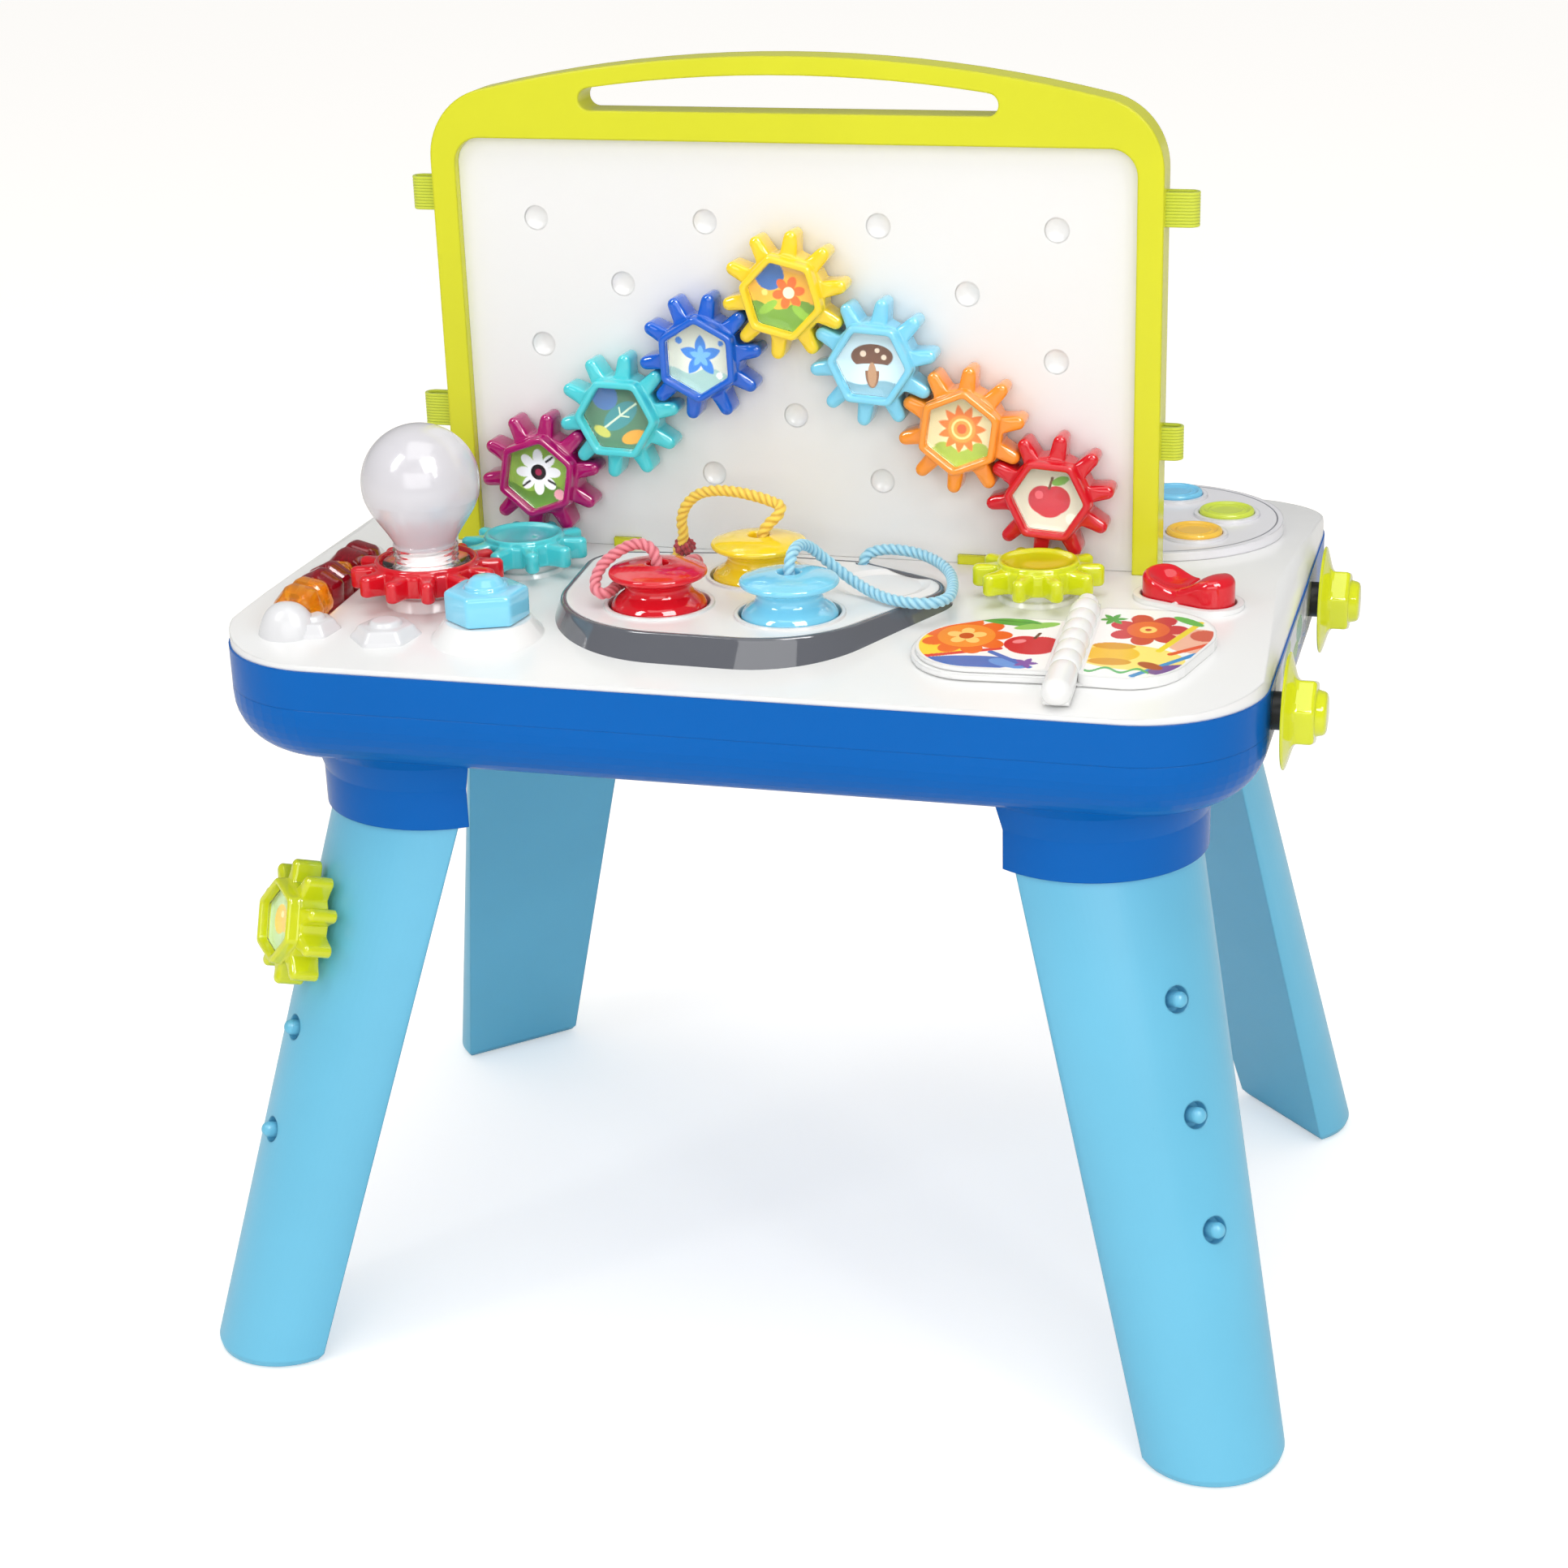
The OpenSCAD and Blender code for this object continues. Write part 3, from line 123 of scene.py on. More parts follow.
def torusMesh(name, loops, body, material, sharp=50):
    # rings joined in a circle: the last one runs back into the first
    loops = np.asarray(loops, float)
    m, n, _ = loops.shape
    points = loops.reshape(-1, 3)
    quads = ringQuads(m, n, m)
    if turnsIn(points, quads, np.empty((0, 3), int)):
        quads = quads[:, ::-1]
    return finishMesh(name, points, quads.tolist(), body, material, sharp)


def smoothLine(points, count):
    # a centripetal-like curve through the points, evenly spaced along its length
    p = np.asarray(points, float)
    t = np.concatenate([[0], np.cumsum(np.linalg.norm(np.diff(p, axis=0), axis=1) ** 0.5)])
    slope = np.gradient(p, t, axis=0)
    s = np.linspace(0, t[-1], count * 4)
    i = np.clip(np.searchsorted(t, s, side="right") - 1, 0, len(t) - 2)
    h = (t[i + 1] - t[i])[:, None]
    u = ((s - t[i]) / (t[i + 1] - t[i]))[:, None]
    fine = ((1 + 2 * u) * (1 - u) ** 2 * p[i] + u * (1 - u) ** 2 * h * slope[i]
            + u * u * (3 - 2 * u) * p[i + 1] + u * u * (u - 1) * h * slope[i + 1])
    return evenly(fine, count)


def evenly(p, count):
    # the same line with its points at equal distances
    d = np.concatenate([[0], np.cumsum(np.linalg.norm(np.diff(p, axis=0), axis=1))])
    s = np.linspace(0, d[-1], count)
    return np.stack([np.interp(s, d, p[:, j]) for j in range(p.shape[1])], -1)


def framesAlong(line):
    # side vectors carried along the line without twisting
    t = np.gradient(line, axis=0)
    t /= np.linalg.norm(t, axis=1)[:, None]
    u = np.empty_like(t)
    start = np.cross(t[0], [0.3, 0.2, 0.93])
    u[0] = start / np.linalg.norm(start)
    for i in range(1, len(t)):
        v = u[i - 1] - t[i] * np.dot(u[i - 1], t[i])
        u[i] = v / np.linalg.norm(v)
    return t, u, np.cross(t, u)


def closedEvenly(line, count):
    # the same for a closed line, whose last point runs back to the first
    return evenly(np.concatenate([line, line[:1]]), count + 1)[:-1]


def sideways(line):
    # unit vectors square to a flat closed line
    t = np.roll(line, -1, 0) - np.roll(line, 1, 0)
    return np.stack([t[:, 1], -t[:, 0]], -1) / np.linalg.norm(t, axis=1)[:, None]


def circleAngles(n):
    return np.linspace(0, 2 * np.pi, n, endpoint=False)


def atHeight(line, z):
    # a flat line lifted to height z
    return np.concatenate([line, np.full((len(line), 1), z)], 1)


def rings(r, a, z):
    # points round Z at radius r and height z, one for each angle
    return np.stack(np.broadcast_arrays(r * np.cos(a), r * np.sin(a), z), -1)


def turned(profile, n=96):
    # a lathe: radius and height pairs spun about Z
    a = circleAngles(n)
    r, z = np.asarray(profile, float).T
    return rings(r[:, None], a, z[:, None])


def sixSided(angle, size, turn, power=26):
    # radius of a hexagon with eased corners: a smooth maximum over its six flats
    flats = np.radians(turn + 30 + np.arange(6) * 60)
    c = np.maximum(np.cos(np.asarray(angle)[..., None] - flats), 0)
    return size * math.cos(math.pi / 6) / (c ** power).sum(-1) ** (1 / power)


def place(loops, origin, xAxis=(1, 0, 0), yAxis=(0, 1, 0), zAxis=(0, 0, 1)):
    # local millimetres to the table's own millimetres
    x, y, z = (np.asarray(axis, float) for axis in (xAxis, yAxis, zAxis))
    return np.asarray(origin, float) + loops[..., :1] * x + loops[..., 1:2] * y + loops[..., 2:] * z


def withPoles(rows):
    # the two poles of a closed surface take the values of its first and last point
    rows = rows.reshape(-1, rows.shape[-1])
    return np.concatenate([rows, rows[:1], rows[-1:]])


def setYarnAndShade(piece, *parts):
    # length along, way round and painted shade of the yarn at each point of a closed surface: lighter where
    # the surface stands out, darker in its hollows
    layer = piece.data.attributes.new("yarn", "FLOAT_VECTOR", "POINT")
    coords = withPoles(np.stack(np.broadcast_arrays(*parts), -1))
    layer.data.foreach_set("vector", coords.astype(np.float32).ravel())


def setInk(piece, colours):
    layer = piece.data.attributes.new("ink", "FLOAT_COLOR", "POINT")
    flat = withPoles(colours)
    ink = np.concatenate([flat, np.ones((len(flat), 1))], 1)
    layer.data.foreach_set("color", ink.astype(np.float32).ravel())


def tint(code):
    # hexadecimal screen colour to linear values
    c = np.array([int(code[i:i + 2], 16) for i in (1, 3, 5)]) / 255
    return [float(v) for v in np.where(c <= 0.04045, c / 12.92, ((c + 0.055) / 1.055) ** 2.4)]


def newGroup(name, inputs, outputs):
    tree = bpy.data.node_groups.new(name, "ShaderNodeTree")
    for label, kind, value in inputs:
        socket = tree.interface.new_socket(label, in_out="INPUT", socket_type=kind)
        if value is not None:
            socket.default_value = value
    for label, kind in outputs:
        tree.interface.new_socket(label, in_out="OUTPUT", socket_type=kind)
    return tree, tree.nodes.new("NodeGroupInput"), tree.nodes.new("NodeGroupOutput")


def addNode(tree, kind, **values):
    node = tree.nodes.new(kind)
    for key, value in values.items():
        if key.startswith("in_"):
            node.inputs[key[3:].replace("_", " ")].default_value = value
        else:
            setattr(node, key, value)
    return node


def mathNode(tree, operation, a, b):
    node = tree.nodes.new("ShaderNodeMath")
    node.operation = operation
    for i, value in enumerate((a, b)):
        if hasattr(value, "links"):
            tree.links.new(value, node.inputs[i])
        else:
            node.inputs[i].default_value = value
    return node.outputs[0]


def buildMouldGroup():
    # moulded plastic: slow drift of shade, patchy polish and a fine skin of grain
    tree, start, end = newGroup(
        "mouldedSkin",
        [("Vector", "NodeSocketVector", None), ("Colour", "NodeSocketColor", (1, 1, 1, 1)),
         ("Shade", "NodeSocketColor", (1, 1, 1, 1)), ("Rough", "NodeSocketFloat", 0.25),
         ("Patch", "NodeSocketFloat", 0.05), ("Grain", "NodeSocketFloat", 900.0)],
        [("Colour", "NodeSocketColor"), ("Rough", "NodeSocketFloat"), ("Height", "NodeSocketFloat")])
    link = tree.links.new
    drift = addNode(tree, "ShaderNodeTexNoise", in_Scale=9.0, in_Detail=3.0)
    patch = addNode(tree, "ShaderNodeTexNoise", in_Scale=70.0, in_Detail=4.0, in_Roughness=0.6)
    grain = addNode(tree, "ShaderNodeTexNoise", in_Detail=2.0)
    for noise in (drift, patch, grain):
        link(start.outputs["Vector"], noise.inputs["Vector"])
    link(start.outputs["Grain"], grain.inputs["Scale"])
    blend = addNode(tree, "ShaderNodeMix", data_type="RGBA")
    spread = addNode(tree, "ShaderNodeMapRange", in_From_Min=0.35, in_From_Max=0.7)
    link(drift.outputs["Fac"], spread.inputs["Value"])
    link(spread.outputs[0], blend.inputs[0])
    link(start.outputs["Colour"], blend.inputs[6])
    link(start.outputs["Shade"], blend.inputs[7])
    link(blend.outputs[2], end.inputs["Colour"])
    offset = mathNode(tree, "MULTIPLY", mathNode(tree, "SUBTRACT", patch.outputs["Fac"], 0.5),
                      start.outputs["Patch"])
    link(mathNode(tree, "ADD", start.outputs["Rough"], offset), end.inputs["Rough"])
    link(mathNode(tree, "ADD", grain.outputs["Fac"], mathNode(tree, "MULTIPLY", patch.outputs["Fac"], 0.6)),
         end.inputs["Height"])
    return tree


mouldedSkin = buildMouldGroup()


def newMaterial(name):
    material = bpy.data.materials.new(name)
    material.use_nodes = True
    tree = material.node_tree
    return material, tree, tree.links.new, tree.nodes["Principled BSDF"]


def setInputs(shader, **values):
    for label, value in values.items():
        shader.inputs[label.replace("_", " ")].default_value = value


def plastic(name, code, rough=0.22, patch=0.06, depth=0.00002, bevel=0.0006, coat=0.0, through=0.0,
            glow=0.0, ior=1.5, shade=0.94, shine=0.5, shadowClear=0.0):
    # a moulded part: colour, polish and grain from the shared skin, edges eased by a Bevel node
    material, tree, link, shader = newMaterial(name)
    where = addNode(tree, "ShaderNodeTexCoord")
    group = addNode(tree, "ShaderNodeGroup", node_tree=mouldedSkin)
    colour = tint(code)
    setInputs(group, Colour=colour + [1], Shade=[c * shade for c in colour] + [1], Rough=rough, Patch=patch)
    link(where.outputs["Object"], group.inputs["Vector"])
    link(group.outputs["Colour"], shader.inputs["Base Color"])
    link(group.outputs["Rough"], shader.inputs["Roughness"])
    bump = addNode(tree, "ShaderNodeBump", in_Strength=0.35, in_Distance=depth)
    link(group.outputs["Height"], bump.inputs["Height"])
    if bevel:
        edge = addNode(tree, "ShaderNodeBevel", samples=4, in_Radius=bevel)
        link(edge.outputs[0], bump.inputs["Normal"])
    link(bump.outputs[0], shader.inputs["Normal"])
    setInputs(shader, IOR=ior, Specular_IOR_Level=shine, Coat_Weight=coat, Coat_Roughness=0.04,
              Transmission_Weight=through)
    if glow:
        setInputs(shader, Subsurface_Weight=glow, Subsurface_Radius=[0.01, 0.01, 0.01],
                  Subsurface_Scale=0.6)
    if shadowClear:
        path = addNode(tree, "ShaderNodeLightPath")
        blocked = mathNode(tree, "MULTIPLY", path.outputs["Is Shadow Ray"], shadowClear)
        link(mathNode(tree, "SUBTRACT", 1.0, blocked), shader.inputs["Alpha"])
    return material


def fibre(name, code, fibreAndShadeTone, along=0.9, across=2.2, rough=0.75, sheen=0.5):
    # spun yarn: noise drawn out along the cord or tape, read from its own coordinates; the third coordinate
    # adds painted shade, darker in the grooves between strands and ribs and lighter on their crowns
    material, tree, link, shader = newMaterial(name)
    where = addNode(tree, "ShaderNodeAttribute", attribute_name="yarn")
    stretch = addNode(tree, "ShaderNodeMapping", in_Scale=(along, across, 1.0))
    link(where.outputs["Vector"], stretch.inputs["Vector"])
    yarn = addNode(tree, "ShaderNodeTexNoise", in_Scale=1.0, in_Detail=4.0, in_Roughness=0.65)
    link(stretch.outputs[0], yarn.inputs["Vector"])
    split = addNode(tree, "ShaderNodeSeparateXYZ")
    link(where.outputs["Vector"], split.inputs[0])
    # mix towards the darker tone: painted groove shade from the third coordinate, plus fibre noise
    mask = mathNode(tree, "ADD", mathNode(tree, "MULTIPLY", split.outputs["Z"], 0.66),
                    mathNode(tree, "MULTIPLY", yarn.outputs["Fac"], 0.46))
    blend = addNode(tree, "ShaderNodeMix", data_type="RGBA")
    blend.inputs[6].default_value = tint(fibreAndShadeTone) + [1]
    blend.inputs[7].default_value = tint(code) + [1]
    link(mask, blend.inputs[0])
    link(blend.outputs[2], shader.inputs["Base Color"])
    bump = addNode(tree, "ShaderNodeBump", in_Strength=0.6, in_Distance=0.0003)
    link(yarn.outputs["Fac"], bump.inputs["Height"])
    link(bump.outputs[0], shader.inputs["Normal"])
    setInputs(shader, Roughness=rough, Sheen_Weight=sheen, Sheen_Roughness=0.4)
    return material


def printed(name, rough):
    # ink on card: the colours come from the piece's own attribute
    material, tree, link, shader = newMaterial(name)
    ink = addNode(tree, "ShaderNodeAttribute", attribute_name="ink")
    where = addNode(tree, "ShaderNodeTexCoord")
    paper = addNode(tree, "ShaderNodeTexNoise", in_Scale=600.0, in_Detail=3.0)
    link(where.outputs["Object"], paper.inputs["Vector"])
    blend = addNode(tree, "ShaderNodeMix", data_type="RGBA", blend_type="MULTIPLY")
    blend.inputs[0].default_value = 0.04
    link(ink.outputs["Color"], blend.inputs[6])
    link(paper.outputs["Fac"], blend.inputs[7])
    link(blend.outputs[2], shader.inputs["Base Color"])
    speckle = mathNode(tree, "MULTIPLY", paper.outputs["Fac"], 0.12)
    link(mathNode(tree, "ADD", speckle, rough - 0.06), shader.inputs["Roughness"])
    bump = addNode(tree, "ShaderNodeBump", in_Strength=0.15, in_Distance=0.00005)
    link(paper.outputs["Fac"], bump.inputs["Height"])
    link(bump.outputs[0], shader.inputs["Normal"])
    return material


def metal(name, code, rough):
    material = plastic(name, code, rough=rough, patch=0.2, bevel=0.0002)
    setInputs(material.node_tree.nodes["Principled BSDF"], Metallic=1.0)
    return material


finish = dict(
    white=plastic("glossyWhite", "#F0F0EF", rough=0.2, bevel=0.0012, shade=0.975),
    # the dome and the nuts: the deck's white made darker, as painted shade
    shadedMound=plastic("shadedMouldedWhite", "#DFDFE1", rough=0.25, bevel=0.0003, shade=0.98),
    panel=plastic("satinWhitePanel", "#EEEEED", rough=0.3, bevel=0.0008, shade=0.985),
    tub=plastic("glossyBlue", "#0062B8", bevel=0.0008, shine=0.14),
    leg=plastic("satinSkyLeg", "#6DC2E3", rough=0.3, patch=0.1, bevel=0.0014, depth=0.00004),
    frame=plastic("glossyLimeFrame", "#DBDC2A", rough=0.2, bevel=0.0016, shine=0.35),
    grey=plastic("glossyGreyRim", "#606269", rough=0.07, bevel=0, coat=0.5),
    clear=plastic("clearLens", "#FBFDFD", rough=0.03, patch=0.01, through=1.0, ior=1.32,
                  shadowClear=0.92, bevel=0),
    globe=plastic("frostedGlobe", "#D8D6DB", rough=0.16, glow=0.4, coat=0.6, bevel=0, shade=0.985),
    amber=plastic("amberBead", "#FFAF1E", rough=0.04, through=0.7, shadowClear=0.6, bevel=0, coat=0.3),
    burgundy=plastic("burgundyBead", "#B0102A", rough=0.04, through=0.6, shadowClear=0.5, bevel=0,
                     coat=0.3),
    rod=metal("polishedRod", "#D4D6D8", 0.2),
    palette=plastic("greyWhite", "#E9E8EC", rough=0.2, bevel=0.0012, shade=0.975),
    # grey for the bead at the palette's edge, where there is only a shadow gap: painted shade
    line=plastic("shadeGapGrey", "#8C8D95", rough=0.3, bevel=0),
    black=plastic("blackBush", "#17181A", rough=0.4, bevel=0.0003),
    screw=metal("zincScrew", "#B9BABC", 0.35),
    battery=plastic("batteryJacket", "#2E3238", rough=0.35),
    board=plastic("circuitGreen", "#1E6B3A", rough=0.45),
    card=printed("printedCard", 0.3),
    label=printed("printedLabel", 0.22),
    # the webbing's second colour is painted shade between its ribs and its darker fibre tone
    webbing=fibre("ribbedWebbing", "#D9E339", "#8FA010", along=2.5, across=3.5, rough=0.7, sheen=0.3),
    # the tuft's second colour is painted shade in its hollows and its darker fibre tone
    tuft=fibre("tuftYarn", "#C23A46", "#6E1420"),
)
for key, code in dict(lime="#DAE11C", teal="#50D6DE", red="#DB1626", sky="#84D8F6", yellow="#FFDC2A",
                      royal="#0A62D4", orange="#FF9A2C", magenta="#B2056B").items():
    finish[key] = plastic("glossy" + key.capitalize(), code, rough=0.05, patch=0.02, bevel=0,
                          coat=0.3 if key == "red" else 0.5)
for key, code in dict(Blue="#7CCBF2", Lime="#CFE04E", Yellow="#FFC84A").items():
    finish["button" + key] = plastic("cap" + key, code, rough=0.14, glow=0.3, bevel=0)
# each rope's second colour is its painted groove shade and its darker fibre tone
for key, code, fibreAndShadeTone in (("Blue", "#B2E4F4", "#3F97BE"), ("Yellow", "#FFE15A", "#D59410"),
                        ("Red", "#F2919C", "#A91F33")):
    finish["rope" + key] = fibre("spunRope" + key, code, fibreAndShadeTone)
print("materials made")


rope = dict(radius=2.5, strands=3, turnsPerMetre=95, rings=22)
ropeLines = {
    "blue": [[23.2, -101.8, 371.5], [23.2, -101.4, 375.5], [23.3, -99, 379.5], [23.5, -93, 382],
             [24.2, -85, 381.8], [26, -77, 378.5], [30, -71, 372.3], [37, -69, 366], [45, -72, 362],
             [54, -78, 359.8], [64, -84, 359], [75, -87, 359], [83, -85, 359], [87, -77, 359],
             [86.5, -66, 359.2], [84, -54, 359.5], [80, -43, 360], [73, -33, 361], [64, -26, 362],
             [54, -22.5, 362.5], [46, -21, 362], [40, -21, 360.5], [37, -22.5, 358.5], [36, -24, 354]],
    "yellow": [[-4, -49, 371.5], [-3, -49, 376], [0, -48.5, 380], [3.5, -47, 383.5],
               [4, -44.5, 386.5], [-1, -42, 388], [-9, -40, 389.5], [-19, -38, 390.5],
               [-29, -36, 390], [-38, -34, 387], [-44, -33, 381], [-46.5, -32, 374],
               [-46.5, -30.5, 367.5], [-48, -29, 362], [-50.3, -27.3, 358.5], [-51, -27, 354]],
    "red": [[-36.9, -98.6, 371.5], [-37.3, -98.2, 375.8], [-39.5, -97, 380], [-44, -96, 381.8],
            [-49, -96.3, 381.2], [-54.5, -98.3, 378.5], [-60.5, -101.8, 373.4], [-62.8, -105.5, 367.8],
            [-61.3, -109.3, 363.9], [-58.2, -109, 362.5], [-56.6, -103.5, 362.3], [-56.6, -96, 362.3],
            [-54.5, -87, 361.5], [-50.5, -77, 360], [-47, -67, 359], [-43.5, -57, 359],
            [-40, -48, 359.4], [-37.8, -43, 359.4], [-37, -40, 357.5], [-37, -40, 354]],
}


def addRope(colour):
    # three strands laid together: the radius has three lobes that turn with the length
    line = smoothLine(ropeLines[colour], 200)[::-1]
    length = np.linalg.norm(np.diff(line, axis=0), axis=1).sum()
    line = evenly(line, int(length * 3.2))
    _, u, w = framesAlong(line)
    a = circleAngles(rope["rings"])[None]
    s = np.linspace(0, length, len(line))[:, None]
    twist = 2 * np.pi * s * 0.001 * rope["turnsPerMetre"]
    lobe = np.abs(np.cos(rope["strands"] / 2 * (a - twist)))
    r = rope["radius"] * (0.74 + 0.3 * lobe ** 0.75)
    across, up = np.cos(a)[..., None] * u[:, None], np.sin(a)[..., None] * w[:, None]
    loops = line[:, None] + r[..., None] * (across + up)
    piece = loopMesh(f"rope_{colour}_twist", loops, f"spool_{colour}_body",
                     finish["rope" + colour.capitalize()], 80)
    # the strand bulge sets the painted shade: darker in the grooves between strands, lighter on their crowns
    setYarnAndShade(piece, s, a - twist, lobe)
    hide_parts("rope_" + colour)
    print("rope", colour, round(float(length), 1), "mm")


for colour in ropeLines:
    addRope(colour)


def addTuft(centre, size):
    # loose yarn where the yellow rope goes into the tray
    a, b = circleAngles(60)[None], np.linspace(0.05, math.pi - 0.05, 34)[:, None]
    lump = 1 + 0.16 * np.sin(5 * a + 3 * b) * np.sin(4 * b) + 0.12 * np.sin(11 * a - 5 * b)
    loops = rings(size * lump * np.sin(b), a, 0.85 * size * lump * np.cos(b)) + np.array(centre)
    piece = loopMesh("rope_tuft", loops, "spool_yellow_body", finish["tuft"], 80)
    # the lumps set the painted shade: darker in the hollows, lighter on the bumps
    setYarnAndShade(piece, 14 * b, 3 * a + 2 * np.sin(6 * b), 0.5 + 2.2 * (lump - 1))


addTuft(centre=(-47, -28, 360.8), size=4.5)


gearShape = dict(teeth=10, hub=19.0, tip=29.0, root=3.7, end=3.1, thick=13.5, eased=2.9,
                 easedBack=1.1, bezel=20.0, bezelIn=16.4, front=19.0, card=11.5, bore=4.05, gap=3.0,
                 boreTop=10.5, perTooth=48)
boardGears = {  # hole column, hole row, tooth turn, bezel turn, finish
    "yellow": (0, 3, 10, 46, "yellow"), "dark_blue": (-1, 2, 8, 32, "royal"),
    "light_blue": (1, 2, 8, -4, "sky"), "teal": (-2, 1, 10, -2, "teal"),
    "orange": (2, 1, 10, 22, "orange"), "magenta": (-3, 0, 8, 20, "magenta"),
    "red": (3, 0, 8, -4, "red")}


def toothedLine(teeth, hub, tip, root, end, perTooth, turn):
    # one outline round all teeth: hub arc, straight flank, round tip; softened at its corners
    half = math.pi / teeth
    rootAngle = math.asin(root / hub)
    arc = np.linspace(-half, -rootAngle, 12)
    hubPart = np.stack([hub * np.cos(arc), hub * np.sin(arc)], -1)
    flank = np.array([[hub + 0.5, -root], [tip - end, -end]])
    cap = np.linspace(-math.pi / 2, 0, 14)
    tipPart = np.stack([tip - end + end * np.cos(cap), end * np.sin(cap)], -1)
    side = np.concatenate([hubPart, flank, tipPart])
    tooth = np.concatenate([side, side[::-1][1:] * [1, -1]])[:-1]
    angle = np.radians(turn + np.arange(teeth) * 360 / teeth)
    c, s = np.cos(angle)[:, None], np.sin(angle)[:, None]
    x, y = tooth.T
    whole = np.stack([x * c - y * s, x * s + y * c], -1).reshape(-1, 2)
    line = closedEvenly(whole, teeth * perTooth * 4)
    step = np.linalg.norm(np.diff(line[:2], axis=0))
    k = np.fft.fftfreq(len(line)) * 2 * np.pi / step
    soft = np.fft.ifft(np.fft.fft(line[:, 0] + 1j * line[:, 1]) * np.exp(-0.5 * (0.55 * k) ** 2))
    line = np.stack([soft.real, soft.imag], -1)
    return line[::4], -sideways(line)[::4]


def roundedEdge(size, steps, up):
    # pairs of inset and height along a quarter circle
    a = np.linspace(0, math.pi / 2, steps)
    inset, rise = size * (1 - np.sin(a)), size * (1 - np.cos(a))
    return list(zip(inset, rise)) if up else list(zip(inset[::-1], -rise[::-1]))


def gearLoops(g, turn, centre):
    # bore, back face, toothed side with eased edges, then the rings of the front;
    # the hub between two teeth is eased less, and the rings inside follow the eased line
    line, inward = toothedLine(g["teeth"], g["hub"], g["tip"], g["root"], g["end"], g["perTooth"], turn)
    reach = np.hypot(line[:, 0], line[:, 1])
    inward = inward * (0.32 + 0.68 * np.clip((reach - g["hub"] - 0.3) / 4, 0, 1))[:, None]
    inner = line + inward * g["eased"]
    angle = np.unwrap(np.arctan2(inner[:, 1], inner[:, 0]))
    limit = np.hypot(inner[:, 0], inner[:, 1]) - 0.15
    loops = []
    for r, z in ((g["bore"], g["boreTop"]), (g["bore"], 0.5), (g["bore"] + 0.5, 0.0)):
        loops.append(rings(r, angle, z))
    back = [(2.6, 0.0)] + roundedEdge(g["easedBack"], 5, True)
    front = [(inset, g["thick"] + 0.75 * rise) for inset, rise in roundedEdge(g["eased"], 9, False)]
    for inset, z in back + front:
        loops.append(atHeight(line + inward * inset, z))
    for r, z, shape in centre:
        loops.append(rings(np.minimum(r, limit) if shape is None else sixSided(angle, r, shape), angle, z))
    return np.array(loops)


def boardCentre(g, hexTurn):
    # the sloping shoulder, the six-sided bezel with rounded lips, and the floor under the card
    b, i, t, f, c = (g[k] for k in ("bezel", "bezelIn", "thick", "front", "card"))
    rows = [(b + 0.5, t + 0.15), (b + 0.15, t + 0.5), (b + 0.05, t + 1.6), (b - 0.1, f - 1.4),
            (b - 0.35, f - 0.6), (b - 0.9, f - 0.1), (b - 1.4, f), (i + 1.2, f), (i + 0.6, f - 0.15),
            (i + 0.15, f - 0.6), (i, f - 1.3), (i, c + 0.3), (i - 0.3, c), (3.0, c)]
    return [(g["hub"] + 0.6, t, None)] + [(r, z, hexTurn) for r, z in rows]


def atBoard(column, row):
    return ([column * table["holeDx"], -gearShape["gap"], table["rowZ"] + row * table["holeDz"]],
            (1, 0, 0), (0, 0, 1), (0, -1, 0))


legFrame = dict(foot=(217.0, 155.4), hip=(159.8, 93.4), legZ=256.0, bulgeFoot=37.2, bulgeHip=36.5,
                pegRows=(204.0, 156.0, 108.0))


def atLegPeg(z, sx=-1, sy=-1):
    # the frame of a leg's peg: its axis leaves the bulge square to the leaning face
    f = legFrame
    t = z / f["legZ"]
    b = (f["bulgeFoot"] + (f["bulgeHip"] - f["bulgeFoot"]) * t) * math.cos(math.pi / 4)
    dx, dy = f["foot"][0] - f["hip"][0], f["foot"][1] - f["hip"][1]
    lean = math.atan((math.hypot(dx, dy) + f["bulgeFoot"] - f["bulgeHip"]) / f["legZ"])
    o = np.array([f["foot"][0] - dx * t + b, f["foot"][1] - dy * t + b, z])
    c, s, q = math.cos(math.pi / 2 - lean), math.sin(math.pi / 2 - lean), math.sqrt(0.5)
    x, y, w = np.array([c * q, c * q, -s]), np.array([-q, q, 0]), np.array([s * q, s * q, c])
    m = np.array([sx, sy, 1])
    return o * m, x * m, y * m, w * m


for name, (column, row, toothTurn, bezelTurn, look) in boardGears.items():
    loops = gearLoops(gearShape, toothTurn, boardCentre(gearShape, bezelTurn))
    piece = loopMesh(f"gear_{name}_moulded", place(loops, *atBoard(column, row)), f"gear_{name}_body",
                     finish[look], 50)
    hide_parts("gear_" + name)
legGearTurn = dict(teeth=8, bezel=20)
o, x, y, w = atLegPeg(legFrame["pegRows"][0])
legGearFrame = (o + w * gearShape["gap"], x, y, w)
loops = gearLoops(gearShape, legGearTurn["teeth"], boardCentre(gearShape, legGearTurn["bezel"]))
piece = loopMesh("leg_gear_moulded", place(loops, *legGearFrame), "leg_gear_body", finish["lime"], 50)
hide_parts("leg_gear")


